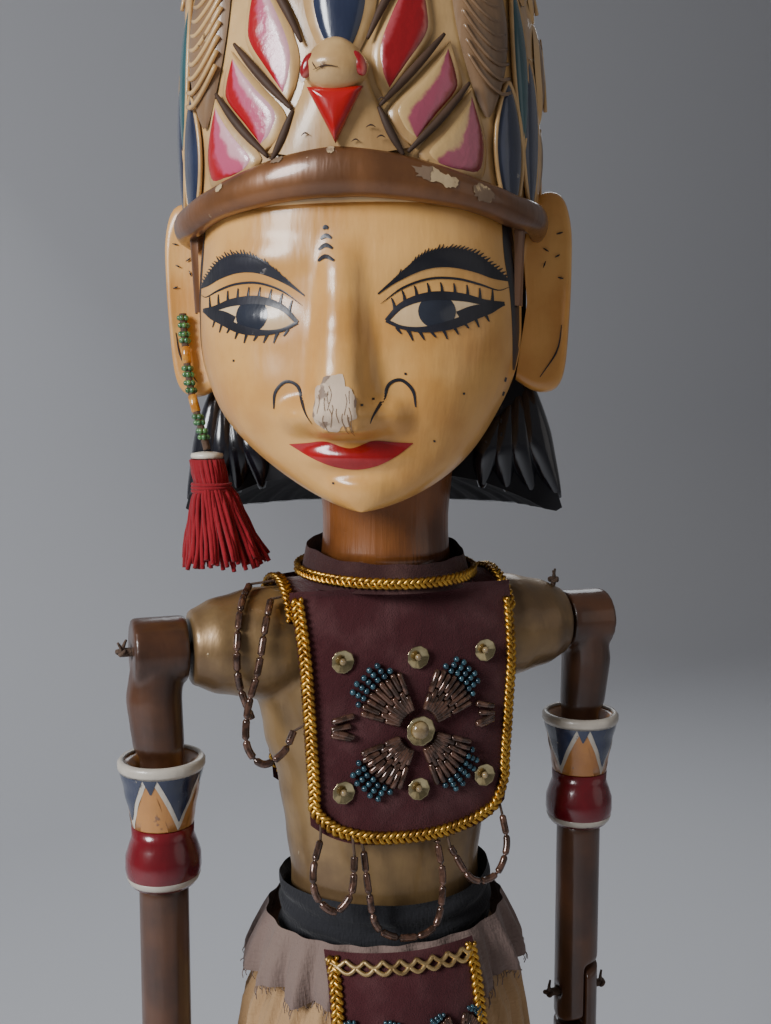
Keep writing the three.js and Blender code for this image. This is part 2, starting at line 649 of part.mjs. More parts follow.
function makeTiesAndRods() {
  const knotGap = 2.2;
  const { x, radius, eyeRadius, foot } = HAND_ROD;
  const shoulderCord = tieCord(SHOULDER_END_X - 5, ARM.humpOut + 2, SHOULDER_Z, [ARM.humpOut + knotGap]);
  addPair("shoulder_cord", shoulderCord, MATERIAL.string);
  const elbow = [ARM.humpIn - knotGap, ARM.x + ARM.radius + knotGap];
  addPair("elbow_cord", tieCord(elbow[0], elbow[1], ELBOW_Z, elbow), MATERIAL.string);
  const hand = [ARM.x - 4.2 - knotGap - 0.2, x + eyeRadius + knotGap];
  addPair("hand_tie", tieCord(hand[0], hand[1], PALM_Z, hand), MATERIAL.string);
  const profile = [[0, foot], [1.4, foot], [radius, foot + 14], [radius, PALM_Z], [0, PALM_Z]];
  const eye = new THREE.SphereGeometry(eyeRadius, 10, 8).translate(x, 0, PALM_Z);
  const rod = solid(turned(profile, 10, x)).add(solid(eye)).subtract(cordHole(PALM_Z));
  addPair("hand_rod", rod, MATERIAL.horn);
}

makeStand();
makeRod();
makeHead();
makeTassel();
makeTorso();
makeVest();
makeFlower();
makeStrands();
makeSkirt();
makeUpperArms();
makeForearms();
makeTiesAndRods();

export default puppet;
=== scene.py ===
"""A wayang golek rod puppet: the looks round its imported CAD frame.

Sizes are in millimetres until a mesh is made, apart from the camera, the lights and the floor, in metres.
"""

import random
from math import asin, copysign, cos, exp, hypot, pi, radians, sin, sqrt, tau

import bmesh
import bpy
from mathutils import Matrix, Vector, noise


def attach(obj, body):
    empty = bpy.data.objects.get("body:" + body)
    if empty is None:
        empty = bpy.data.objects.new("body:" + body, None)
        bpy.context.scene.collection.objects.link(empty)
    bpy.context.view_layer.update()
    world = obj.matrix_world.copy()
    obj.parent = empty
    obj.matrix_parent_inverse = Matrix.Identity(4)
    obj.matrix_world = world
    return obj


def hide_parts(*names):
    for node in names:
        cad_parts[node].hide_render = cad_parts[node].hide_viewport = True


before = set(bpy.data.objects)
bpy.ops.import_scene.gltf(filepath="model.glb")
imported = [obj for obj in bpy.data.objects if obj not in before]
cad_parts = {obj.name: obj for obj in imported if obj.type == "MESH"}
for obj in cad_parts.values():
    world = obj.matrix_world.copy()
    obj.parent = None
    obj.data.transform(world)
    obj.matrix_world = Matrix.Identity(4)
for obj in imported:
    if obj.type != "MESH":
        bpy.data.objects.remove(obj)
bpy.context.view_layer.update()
MM = 0.001
SIDES = (("right", -1), ("left", 1))
random.seed(7)

# ---------- the head's own frame ----------
NECK_Z = 470
HEAD_TURN = radians(-26)
HEAD_LEAN = radians(-0.7)
HEAD_SIDE = -5  # the head sits a little off its neck, to its own right
UP = Matrix.Translation((0, 0, NECK_Z))
TURNED = Matrix.Rotation(HEAD_TURN, 4, "Z") @ Matrix.Translation((HEAD_SIDE, 0, 0))
HEAD = UP @ TURNED @ Matrix.Rotation(HEAD_LEAN, 4, "Y") @ UP.inverted()


# ---------- camera, stage and light ----------
def make_camera():
    turn, pitch = radians(-20), radians(5.5)
    distance, height = 0.290, 0.505
    data = bpy.data.cameras.new("camera")
    data.sensor_width = 36
    data.lens = 37.96875
    data.clip_start = 0.01
    camera = bpy.data.objects.new("camera", data)
    camera.location = (sin(turn) * distance, -cos(turn) * distance, height)
    camera.rotation_euler = (pi / 2 - pitch, 0, turn)
    bpy.context.scene.collection.objects.link(camera)
    bpy.context.scene.camera = camera


CHEST = Vector((0, 0, 0.46))  # metres


def make_light(name, location, size, power, colour):
    """A round soft light that faces the puppet's chest; size and location in metres, power in watts."""
    data = bpy.data.lights.new(name, "AREA")
    data.shape = "DISK"
    data.size = size
    data.energy = power
    data.color = colour
    light = bpy.data.objects.new(name, data)
    light.location = location
    light.visible_camera = False
    light.rotation_euler = (CHEST - Vector(location)).to_track_quat("-Z", "Y").to_euler()
    bpy.context.scene.collection.objects.link(light)


def make_studio():
    make_light("window", (-1.15, -0.55, 1.0), 0.55, 23, (0.97, 0.98, 1.0))
    make_light("fill", (1.3, -1.2, 0.8), 1.4, 1.8, (1.0, 0.95, 0.9))
    make_light("back", (0.5, 1.1, 1.2), 0.8, 4, (0.9, 0.95, 1.0))
    world = bpy.data.worlds.new("world")
    world.use_nodes = True
    sky = world.node_tree.nodes["Background"].inputs
    sky["Color"].default_value = (0.66, 0.65, 0.66, 1)
    sky["Strength"].default_value = 0.24
    bpy.context.scene.world = world
    # a floor that curves up into a wall behind the puppet
    near, wall_foot, bend, wall_top, half_width = -6, 1.0, 0.5, 5, 8
    profile = [(near, 0), (wall_foot, 0)]
    for i in range(13):
        a = pi / 2 * i / 12
        profile.append((wall_foot + bend * sin(a), bend - bend * cos(a)))
    profile.append((wall_foot + bend, wall_top))
    points = [(x, y, z) for y, z in profile for x in (-half_width, half_width)]
    faces = [(2 * i, 2 * i + 1, 2 * i + 3, 2 * i + 2) for i in range(len(profile) - 1)]
    data = bpy.data.meshes.new("floor")
    data.from_pydata(points, [], faces)
    data.polygons.foreach_set("use_smooth", [True] * len(faces))
    floor = bpy.data.objects.new("floor", data)
    floor.rotation_euler = (0, 0, radians(20))
    bpy.context.scene.collection.objects.link(floor)
    data.materials.append(plain("pale_floor", (0.62, 0.63, 0.66), 0.8))


# ---------- materials ----------
def plain(name, colour, roughness, metallic=0.0, coat=0.0):
    """A material of one colour, the base of all the others."""
    material = bpy.data.materials.new(name)
    material.use_nodes = True
    shader = material.node_tree.nodes["Principled BSDF"]
    shader.inputs["Base Color"].default_value = (*colour, 1)
    shader.inputs["Roughness"].default_value = roughness
    shader.inputs["Metallic"].default_value = metallic
    shader.inputs["Coat Weight"].default_value = coat
    shader.inputs["Coat Roughness"].default_value = 0.12
    return material


class Nodes:
    """Short calls for building one material's node tree."""

    def __init__(self, material):
        self.tree = material.node_tree
        self.shader = self.tree.nodes["Principled BSDF"]
        self.place = self.tree.nodes.new("ShaderNodeTexCoord").outputs["Object"]

    def link(self, a, b):
        self.tree.links.new(a, b)

    def finish(self, colour, normal=None, roughness=None):
        """Join the finished values to the shader."""
        for value, socket in ((colour, "Base Color"), (roughness, "Roughness"), (normal, "Normal")):
            if value:
                self.link(value, self.shader.inputs[socket])

    def noise(self, scale, detail=4.0, stretch=(1, 1, 1)):
        mapping = self.tree.nodes.new("ShaderNodeMapping")
        mapping.inputs["Scale"].default_value = stretch
        self.link(self.place, mapping.inputs["Vector"])
        node = self.tree.nodes.new("ShaderNodeTexNoise")
        node.inputs["Scale"].default_value = scale
        node.inputs["Detail"].default_value = detail
        self.link(mapping.outputs["Vector"], node.inputs["Vector"])
        return node.outputs["Fac"]

    def map_range(self, value, ends, low, high):
        node = self.tree.nodes.new("ShaderNodeMapRange")
        node.inputs[ends + " Min"].default_value = low
        node.inputs[ends + " Max"].default_value = high
        self.link(value, node.inputs["Value"])
        return node

    def ramp(self, value, low, high):
        """0 below low, 1 above high, and a smooth step between."""
        node = self.map_range(value, "From", low, high)
        node.interpolation_type = "SMOOTHSTEP"
        return node.outputs["Result"]

    def number(self, value, low, high):
        """A value from 0 to 1 stretched to run from low to high."""
        return self.map_range(value, "To", low, high).outputs["Result"]

    def mix(self, factor, a, b):
        node = self.tree.nodes.new("ShaderNodeMix")
        node.data_type = "RGBA"
        self.link(factor, node.inputs[0])
        for value, socket in ((a, node.inputs[6]), (b, node.inputs[7])):
            if isinstance(value, tuple):
                socket.default_value = (*value, 1)
            else:
                self.link(value, socket)
        return node.outputs[2]

    def bump(self, value, depth, under=None):
        node = self.tree.nodes.new("ShaderNodeBump")
        node.inputs["Distance"].default_value = depth
        self.link(value, node.inputs["Height"])
        if under is not None:
            self.link(under, node.inputs["Normal"])
        return node.outputs["Normal"]


def painted(name, colour, shade, wear, amount, roughness, coat, metallic=0.0, grain=(1, 1, 0.25)):
    """Paint on carved wood: two tones that drift, worn flecks of another colour, and a faint grain."""
    material = plain(name, colour, roughness[0], metallic, coat)
    n = Nodes(material)
    drift = n.ramp(n.noise(55, 5), 0.35, 0.68)
    toned = n.mix(drift, colour, shade)
    flecks = n.ramp(n.noise(210, 8), 0.72 - 0.3 * amount, 0.76 - 0.28 * amount)
    worn, rough = n.mix(flecks, toned, wear), n.number(n.noise(120, 6), *roughness)
    n.finish(worn, n.bump(flecks, 0.00008, n.bump(n.noise(260, 3, grain), 0.00025)), rough)
    return material


def velvet(name, colour, dust):
    """Worn velvet: a short pile with dust in it."""
    material = plain(name, colour, 0.95)
    n = Nodes(material)
    n.shader.inputs["Sheen Weight"].default_value = 0.22
    n.shader.inputs["Sheen Roughness"].default_value = 0.4
    pile = n.bump(n.noise(2600, 3), 0.0003)
    dusty = n.mix(n.ramp(n.noise(90, 8), 0.42, 0.75), colour, dust)
    n.finish(dusty, n.bump(n.noise(180, 4), 0.0006, pile))
    return material


def woven(name, colour, shade, pitch=0.0007):
    """Thin woven cloth: crossing threads, with broad stains of a second tone."""
    material = plain(name, colour, 0.9)
    n = Nodes(material)
    n.shader.inputs["Sheen Weight"].default_value = 0.1
    threads = n.noise(1 / pitch, 2, (1, 1, 0.2))
    picks = n.noise(1 / pitch, 2, (0.2, 0.2, 1))
    stained = n.mix(n.ramp(n.noise(26, 8), 0.3, 1.0), colour, shade)
    n.finish(stained, n.bump(picks, 0.0003, n.bump(threads, 0.0003)))
    return material


def metal(name, colour, shade, roughness=(0.25, 0.5)):
    """Gold thread or beaten metal in two tones."""
    material = plain(name, colour, roughness[0], 1.0)
    n = Nodes(material)
    toned = n.mix(n.ramp(n.noise(300, 4), 0.4, 0.7), colour, shade)
    n.finish(toned, roughness=n.number(n.noise(500, 3), *roughness))
    return material


def leaf_paint(name, inner, middle, outer, first, second):
    """Three brushed bands of colour across a carved leaf, parted at first and second; in leaf_left the pale
    inner band is a painted highlight on the red paint.
    """
    material = plain(name, middle, 0.26, 0.0, 0.5)
    n = Nodes(material)
    split = n.tree.nodes.new("ShaderNodeSeparateXYZ")
    uv = n.tree.nodes.new("ShaderNodeUVMap")
    n.link(uv.outputs["UV"], split.inputs["Vector"])
    places = []
    for source, factor in ((split.outputs["X"], 0.6), (n.noise(300, 7), 0.2), (split.outputs["Y"], 0.2)):
        step = n.tree.nodes.new("ShaderNodeMath")
        step.operation = "MULTIPLY_ADD"
        step.inputs[1].default_value = factor
        n.link(source, step.inputs[0])
        step.inputs[2].default_value = 0
        if places:
            n.link(places[-1], step.inputs[2])
        places.append(step.outputs["Value"])
    start, end = 0.6 * first + 0.1, 0.6 * second + 0.2
    half = n.mix(n.ramp(places[1], start - 0.04, start + 0.04), inner, middle)
    whole = n.mix(n.ramp(places[2], end - 0.04, end + 0.05), half, outer)
    n.finish(whole, n.bump(n.noise(300, 3), 0.0003))
    return material


def wood(name, colour, shade):
    """Stained and polished wood with its grain upright."""
    material = plain(name, colour, 0.35, 0.0, 0.3)
    n = Nodes(material)
    rings = n.noise(260, 6, (1, 1, 0.06))
    toned = n.mix(n.ramp(rings, 0.4, 0.62), colour, shade)
    n.finish(toned, n.bump(rings, 0.0003), n.number(n.noise(90, 4), 0.28, 0.5))
    return material


def glassy(name, colour, shade, metallic=0.0):
    """Glass beads, or lacquered ones, in two tones."""
    material = plain(name, colour, 0.15, metallic, 0.6)
    n = Nodes(material)
    n.finish(n.mix(n.ramp(n.noise(500, 2), 0.4, 0.62), colour, shade))
    return material


# Each paint's name, colour and second tone, the colour and share of its worn flecks, its range of roughness
# and its coat, and for some of them how metallic it is and how its grain is stretched.
PAINTS = {
    "face": (
        "face_lacquer", (0.74, 0.40, 0.12), (0.60, 0.285, 0.07), (0.42, 0.22, 0.08), -0.1, (0.26, 0.4), 0.28
    ),
    "ink": (
        "black_line_paint", (0.008, 0.008, 0.012), (0.02, 0.02, 0.03), (0.15, 0.13, 0.12), 0.05, (0.35, 0.5),
        0.1
    ),
    "iris": (
        "iris_paint", (0.012, 0.014, 0.022), (0.03, 0.035, 0.05), (0.1, 0.1, 0.12), 0.0, (0.15, 0.3), 0.4
    ),
    "eye_white": (
        "eye_white_paint", (0.78, 0.58, 0.34), (0.66, 0.44, 0.22), (0.4, 0.3, 0.2), 0, (0.25, 0.35), 0.4
    ),
    "lips": (
        "lip_paint", (0.40, 0.006, 0.008), (0.28, 0.005, 0.007), (0.5, 0.2, 0.12), -0.2, (0.18, 0.3), 0.5
    ),
    "bare": ("bare_wood", (0.66, 0.50, 0.36), (0.48, 0.33, 0.22), (0.25, 0.17, 0.12), 0.6, (0.5, 0.7), 0.0),
    "hair": (
        "black_hair_paint", (0.006, 0.006, 0.010), (0.014, 0.014, 0.02), (0.12, 0.10, 0.09), -0.1,
        (0.14, 0.3), 0.5
    ),
    # the hair's underside: a darker, matte copy of the black hair paint, painted shade under the flared hair
    "hair_under": (
        "black_hair_underside", (0.004, 0.004, 0.006), (0.008, 0.008, 0.011), (0.05, 0.045, 0.04), -0.2,
        (0.8, 0.95), 0
    ),
    "band": (
        "brown_gold_paint", (0.225, 0.09, 0.028), (0.12, 0.048, 0.017), (0.42, 0.28, 0.14), 0.08,
        (0.25, 0.45), 0.5, 0.2
    ),
    "chip": (
        "chipped_plaster", (0.62, 0.47, 0.27), (0.40, 0.28, 0.15), (0.2, 0.13, 0.08), 0.7, (0.6, 0.8), 0.0
    ),
    "crown": (
        "crown_cream_paint", (0.68, 0.43, 0.18), (0.40, 0.23, 0.09), (0.22, 0.12, 0.05), 0.15, (0.25, 0.42),
        0.4
    ),
    "crown_brown": (
        "crown_brown_paint", (0.24, 0.14, 0.07), (0.13, 0.075, 0.04), (0.42, 0.29, 0.16), 0.2, (0.3, 0.5), 0.4
    ),
    "groove": (
        "groove_brown", (0.065, 0.03, 0.014), (0.04, 0.02, 0.01), (0.2, 0.12, 0.07), 0.0, (0.6, 0.8), 0
    ),
    "navy": (
        "navy_paint", (0.016, 0.022, 0.05), (0.03, 0.04, 0.08), (0.3, 0.27, 0.22), 0.1, (0.15, 0.3), 0.7
    ),
    "teal": ("teal_paint", (0.03, 0.10, 0.11), (0.02, 0.06, 0.07), (0.3, 0.27, 0.2), 0.1, (0.2, 0.3), 0.6),
    "red": (
        "beak_red_paint", (0.46, 0.007, 0.008), (0.34, 0.006, 0.007), (0.6, 0.3, 0.2), -0.2, (0.14, 0.24), 0.7
    ),
    "neck": (
        "neck_brown_gold", (0.215, 0.074, 0.018), (0.10, 0.034, 0.011), (0.36, 0.17, 0.07), -0.08,
        (0.22, 0.4), 0.5, 0.1, (3, 3, 0.1)
    ),
    "torso": (
        "gold_bronze_paint", (0.31, 0.195, 0.082), (0.15, 0.09, 0.042), (0.44, 0.35, 0.22), 0.02, (0.3, 0.5),
        0.3, 0.45
    ),
    "arm": (
        "arm_varnish", (0.088, 0.034, 0.014), (0.042, 0.018, 0.010), (0.22, 0.12, 0.06), -0.06, (0.26, 0.42),
        0.4
    ),
    "orange": (
        "orange_paint", (0.45, 0.20, 0.05), (0.30, 0.12, 0.03), (0.2, 0.1, 0.05), 0.2, (0.25, 0.4), 0.6
    ),
    "ring": (
        "ring_red_paint", (0.17, 0.006, 0.012), (0.10, 0.004, 0.008), (0.38, 0.14, 0.14), 0.0, (0.16, 0.3),
        0.6
    ),
    "rim": (
        "rim_white_paint", (0.55, 0.50, 0.42), (0.35, 0.31, 0.26), (0.12, 0.1, 0.1), 0.3, (0.3, 0.5), 0.4
    ),
    "bone": ("bone_disc", (0.72, 0.68, 0.58), (0.6, 0.55, 0.45), (0.4, 0.35, 0.3), 0.1, (0.3, 0.5), 0.3),
}
# inner, middle and outer band, and the two places across the leaf where they part
LEAF_PAINTS = {
    # leaf_left: red paint in its middle and outer bands, and a painted highlight in its pale pink inner band
    "leaf_left": ("leaf_red_pink", (0.70, 0.38, 0.42), (0.52, 0.09, 0.17), (0.40, 0.006, 0.012), 0.3, 0.62),
    "leaf_red": ("leaf_deep_red", (0.36, 0.05, 0.06), (0.26, 0.006, 0.010), (0.42, 0.09, 0.07), 0.22, 0.84),
    "leaf_pink": ("leaf_pink", (0.56, 0.36, 0.15), (0.34, 0.07, 0.11), (0.22, 0.02, 0.016), 0.34, 0.76),
}
# the rest have a name, a colour and a second tone first
VELVETS = {
    "velvet": ("maroon_velvet", (0.050, 0.005, 0.008), (0.085, 0.026, 0.028)),
    "backing": ("collar_cloth", (0.034, 0.008, 0.008), (0.07, 0.030, 0.026)),
}
METALS = {
    "braid": ("gold_braid", (0.62, 0.36, 0.07), (0.35, 0.18, 0.04)),
    "pale_braid": ("pale_gold_trim", (0.58, 0.42, 0.20), (0.36, 0.24, 0.11), (0.35, 0.6)),
    "sequin": ("sequin_metal", (0.55, 0.46, 0.26), (0.34, 0.28, 0.15), (0.12, 0.3)),
}
GLASSES = {
    "bronze_bead": ("bronze_bugle_beads", (0.055, 0.028, 0.018), (0.15, 0.075, 0.05), 0.5),
    "blue_bead": ("blue_seed_beads", (0.012, 0.04, 0.06), (0.035, 0.10, 0.13), 0.3),
    "green_bead": ("green_seed_beads", (0.03, 0.11, 0.04), (0.10, 0.26, 0.08)),
    "amber_bead": ("amber_bugle_beads", (0.45, 0.17, 0.02), (0.62, 0.30, 0.05)),
    "pearl": ("pearl", (0.30, 0.22, 0.11), (0.20, 0.14, 0.07)),
}
WOVEN_CLOTHS = {
    "yarn": ("crimson_yarn", (0.30, 0.002, 0.010), (0.17, 0.002, 0.007), 0.0012),
    "belt": ("black_cloth", (0.007, 0.007, 0.010), (0.02, 0.021, 0.027)),
    "skirt": ("ochre_cloth", (0.44, 0.27, 0.13), (0.24, 0.14, 0.065)),
    "frill": ("mauve_cloth", (0.17, 0.115, 0.10), (0.26, 0.19, 0.15)),
    "string": ("dark_string", (0.07, 0.04, 0.025), (0.13, 0.08, 0.05), 0.0004),
}
WOODS = {
    "dark_wood": ("stained_wood", (0.10, 0.045, 0.02), (0.045, 0.02, 0.01)),
    "rod_wood": ("rod_wood", (0.075, 0.04, 0.022), (0.035, 0.02, 0.012)),
}
MAT = {}
for maker, rows in (
    (painted, PAINTS), (leaf_paint, LEAF_PAINTS), (velvet, VELVETS), (metal, METALS), (glassy, GLASSES),
    (woven, WOVEN_CLOTHS), (wood, WOODS),
):
    for key, row in rows.items():
        MAT[key] = maker(*row)


# ---------- mesh helpers ----------
def mesh(name, points, faces, material, body, matrix=None, uvs=None):
    """A smooth piece of one material from points in millimetres, riding its body."""
    data = bpy.data.meshes.new(name)
    placed = [(matrix @ Vector(p) if matrix else Vector(p)) * MM for p in points]
    data.from_pydata(placed, [], faces)
    data.materials.append(MAT[material])
    if uvs:
        layer = data.uv_layers.new(name="across")
        for loop in data.loops:
            layer.data[loop.index].uv = uvs[loop.vertex_index]
    data.polygons.foreach_set("use_smooth", [True] * len(data.polygons))
    piece = bpy.data.objects.new(name, data)
    bpy.context.scene.collection.objects.link(piece)
    tidy = bmesh.new()
    tidy.from_mesh(data)
    bmesh.ops.recalc_face_normals(tidy, faces=tidy.faces)
    tidy.to_mesh(data)
    tidy.free()
    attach(piece, body)
    return piece


class Build:
    """Points and faces of one piece, gathered from several parts."""

    def __init__(self):
        self.points, self.faces, self.uvs = [], [], []

    def grid(self, nu, nv, point, close_u=False, close_v=False, caps=False):
        """Quads between point(u, v), u and v from 0 to 1; close joins opposite sides, caps fill the ends."""
        start = len(self.points)
        columns = nu if close_u else nu + 1
        rows = nv if close_v else nv + 1
        for j in range(rows):
            for i in range(columns):
                self.points.append(Vector(point(i / nu, j / nv)))
                self.uvs.append((i / nu, j / nv))
        for j in range(nv):
            for i in range(nu):
                a, b, beside = start + j * columns, start + (j + 1) % rows * columns, (i + 1) % columns
                self.faces.append([a + i, a + beside, b + beside, b + i])
        if caps:
            last = start + nv * columns
            self.faces += [list(range(start, start + columns)), list(range(last, last + columns))[::-1]]

    def add(self, other):
        """Take in everything another build has gathered."""
        start = len(self.points)
        self.points += other.points
        self.uvs += other.uvs
        self.faces += [[start + i for i in face] for face in other.faces]

    def tube(self, path, radius, sides=8, closed=False):
        """A round tube along points; radius is a number or a function of the place from 0 to 1."""
        path = [Vector(p) for p in path]
        n = len(path)
        size = radius if callable(radius) else (lambda t: radius)
        start = len(self.points)
        across = None
        for i, p in enumerate(path):
            ahead = path[(i + 1) % n] if closed or i + 1 < n else p
            behind = path[i - 1] if closed or i > 0 else p
            along = (ahead - behind).normalized()
            if across is None:
                across = along.orthogonal().normalized()
            across = (across - along * across.dot(along)).normalized()
            other = along.cross(across)
            r = size(i / max(1, n - 1))
            for k in range(sides):
                a = tau * k / sides
                self.points.append(p + (across * cos(a) + other * sin(a)) * r)
                self.uvs.append((k / sides, i / n))
        last = n if closed else n - 1
        for i in range(last):
            for k in range(sides):
                a, b = start + i * sides, start + ((i + 1) % n) * sides
                self.faces.append([a + k, a + (k + 1) % sides, b + (k + 1) % sides, b + k])
        if not closed:
            end = start + last * sides
            self.faces += [list(range(start, start + sides))[::-1], list(range(end, end + sides))]

    def lathe(self, profile, segments, centre=(0, 0)):
        """A turned body; its (radius, height) points start and end on the axis or close on themselves."""
        closed = profile[0] == profile[-1] and profile[0][0] > 0
        rows = profile[:-1] if closed else profile
        cx, cy = centre

        def point(u, v):
            radius, z = rows[min(len(rows) - 1, round(v * (len(rows) if closed else len(rows) - 1)))]
            a = tau * u
            return (cx + max(radius, 0.01) * cos(a), cy + max(radius, 0.01) * sin(a), z)

        self.grid(segments, len(rows) if closed else len(rows) - 1, point, close_u=True, close_v=closed)

    def ball(self, centre, radii, rings, segments, turn=None):
        """A ball, or an egg when radii holds three numbers, with tiny flats at its poles."""
        centre = Vector(centre)
        wide, deep, tall = radii if isinstance(radii, tuple) else (radii, radii, radii)

        def point(u, v):
            a, b = tau * u, pi * (0.02 + 0.96 * v)
            offset = Vector((wide * sin(b) * cos(a), deep * sin(b) * sin(a), tall * cos(b)))
            return centre + (turn @ offset if turn else offset)

        self.grid(segments, rings, point, close_u=True, caps=True)

    def make(self, name, material, body, slot, *nodes, matrix=None, uv=False):
        """The gathered piece, drawn in place of the given nodes, which are hidden; slot is not used."""
        piece = mesh(name, self.points, self.faces, material, body, matrix, self.uvs if uv else None)
        if nodes:
            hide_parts(*nodes)
        return piece

    def on_head(self, name, material, slot, *nodes, uv=False):
        """The same for a piece that leans and turns with the carved head."""
        return self.make(name, material, "head_and_rod", slot, *nodes, matrix=HEAD, uv=uv)


def curve_points(points, steps):
    """Points evenly spaced along a smooth curve through the given ones."""
    points = [Vector(p) for p in points]
    ends = [points[0] * 2 - points[1], *points, points[-1] * 2 - points[-2]]
    fine = []
    for a, b, c, d in zip(ends, ends[1:], ends[2:], ends[3:]):
        for k in range(24):
            t = k / 24
            bend = (2 * a - 5 * b + 4 * c - d) * t * t
            fine.append(0.5 * (2 * b + (c - a) * t + bend + (3 * b - a - 3 * c + d) * t ** 3))
    fine.append(points[-1])
    lengths = [0.0]
    for a, b in zip(fine, fine[1:]):
        lengths.append(lengths[-1] + (b - a).length)
    result, k = [], 0
    for i in range(steps + 1):
        want = lengths[-1] * i / steps
        while k + 2 < len(lengths) and lengths[k + 1] < want:
            k += 1
        span = lengths[k + 1] - lengths[k]
        result.append(fine[k].lerp(fine[k + 1], (want - lengths[k]) / span if span else 0))
    return result


def drawn(points, steps):
    """A smooth line through (x, z) points, with y left at 0."""
    return curve_points([(x, 0, z) for x, z in points], steps)


def length_of(points):
    """The length of a line through points."""
    return sum((b - a).length for a, b in zip(points, points[1:]))


def smooth_step(low, high, value):
    """0 at low, 1 at high, and an even curve between."""
    t = min(1, max(0, (value - low) / (high - low)))
    return t * t * (3 - 2 * t)


def table(rows, at):
    """A value read from [place, value] rows in falling order of place, with smooth steps between."""
    if at >= rows[0][0]:
        return rows[0][1]
    for (high, a), (low, b) in zip(rows, rows[1:]):
        if at >= low:
            return a + (b - a) * smooth_step(high, low, at)
    return rows[-1][1]


def wander(x, y, z):
    """A smooth random field, mostly between -1 and 1."""
    return noise.noise(Vector((x, y, z)))


def spindle(radius, share):
    """A radius along a line, full in the middle and less by a share at both ends."""
    return lambda t: radius * (1 - share * abs(2 * t - 1))


def hump(t):
    """1 at 0, falling smoothly to 0 at 1 and beyond."""
    return max(0.0, 1 - t * t) ** 2


def oval(x, z, centre_x, centre_z, radius_x, radius_z):
    """A smooth mound of height 1 over an oval."""
    return hump(hypot((x - centre_x) / radius_x, (z - centre_z) / radius_z))


# ---------- face ----------
CHIN, CHEEK, BRIM = 480.5, 525.0, 551.0
NOSE_HEIGHT = [(546, 0), (534, 3.4), (522, 6.2), (511, 8.8), (503.5, 10.8), (500, 9.4), (497.4, 0)]
NOSE_WIDTH = [(546, 5.2), (530, 6.4), (514, 8.4), (503, 10.6), (497, 9)]


def face_outline(z):
    """Half width, front and back of the head at a height."""
    t = min(1, max(0, (CHEEK - z) / (CHEEK - CHIN)))
    rise = max(0, (z - 530) / 21)
    width = 0.8 + 40.6 * max(0, 1 - t * t) ** 0.65 - 2.2 * rise * rise
    return width, -42.5 + 5.5 * t * t, -30 + 64 * max(0, 1 - t * t) ** 0.6


def carving(x, z):
    """How far the nose, eyes, cheeks, lips and chin stand out of the plain head."""
    a = abs(x)
    out = table(NOSE_HEIGHT, z) * (1 - smooth_step(0.3, 1, a / table(NOSE_WIDTH, z)))
    out += 4.0 * oval(a, z, 10.5, 503, 6.6, 5.8)
    out += 1.9 * oval(a, z, 21.5, 526.5, 12.5, 6.5) - 1.6 * oval(a, z, 22, 529, 17, 10)
    out += 0.9 * oval(a, z, 20, 539.5, 20, 6) + 1.2 * oval(a, z, 22, 507, 16, 13)
    out += 1.8 * oval(x, z, 0, 493.4, 15, 3.8) - 0.5 * oval(x, z, 0, 489.2, 9, 2)
    return out + 2.0 * oval(x, z, 0, 485.5, 10, 6.5)


def drift(z):
    """The chin is carved a little to the puppet's left of the brow."""
    return 3.4 * (1 - smooth_step(482, 506, z))


def face_point(x, z, lift=0.0):
    """A point on the front of the head, x from the face's middle line."""
    width, front, back = face_outline(z)
    middle, depth = (front + back) / 2, (back - front) / 2
    t = min(1, abs(x) / width)
    y = middle - depth * (1 - t ** 2.3) ** (1 / 2.3) - carving(x, z) * min(1, (1 - t) * 6)
    return Vector((x + drift(z), y - lift, z))


def make_face():
    head = Build()

    def point(u, v):
        z = CHIN + (BRIM - CHIN) * (0.35 * v + 0.65 * v * v) if v < 1 else BRIM
        width, front, back = face_outline(z)
        a = tau * u
        power = 2 / 2.3
        x = width * copysign(abs(sin(a)) ** power, sin(a))
        if cos(a) > 0:
            return face_point(x, z)
        return Vector((x + drift(z), (front + back) / 2 + (back - front) / 2 * abs(cos(a)) ** power, z))

    head.grid(168, 110, point, close_u=True, caps=True)
    head.on_head("carved_head", "face", "face_lacquer", "head")


def stroke(build, points, width, lift=0.14, steps=None):
    """A brush line on the face through (x, z) points; width is a function of the place from 0 to 1."""
    steps = steps or max(6, round(1.6 * length_of([Vector((x, 0, z)) for x, z in points])))
    line = drawn(points, steps)
    size = width if callable(width) else (lambda t: width)
    start = len(build.points)
    for i, p in enumerate(line):
        ahead, behind = line[min(i + 1, len(line) - 1)], line[max(i - 1, 0)]
        along = (ahead - behind).normalized()
        across = Vector((-along.z, 0, along.x)) * size(i / (len(line) - 1)) / 2
        for side in (-1, 0, 1):
            q = p + across * side
            build.points.append(face_point(q.x, q.z, lift + 0.05 * (side == 0)))
            build.uvs.append((0, 0))
    for i in range(len(line) - 1):
        for k in (0, 1):
            a = start + 3 * i + k
            build.faces.append([a, a + 1, a + 4, a + 3])


def patch(build, low, high, steps, rows, lift):
    """Paint between two lines of (x, z) points on the face."""
    bottom, top = drawn(low, steps), drawn(high, steps)

    def point(u, v):
        q = bottom[round(u * steps)].lerp(top[round(u * steps)], v)
        return face_point(q.x, q.z, lift)

    build.grid(steps, rows, point)


def tapered(width, start=0.15):
    """A brush line's width that starts at a share of the full width and ends at less."""
    end = 0.15

    def size(t):
        swell = width * (min(1, t / 0.2) * (1 - start) + start)
        return swell * (min(1, (1 - t) / 0.25) * (1 - end) + end)

    return size


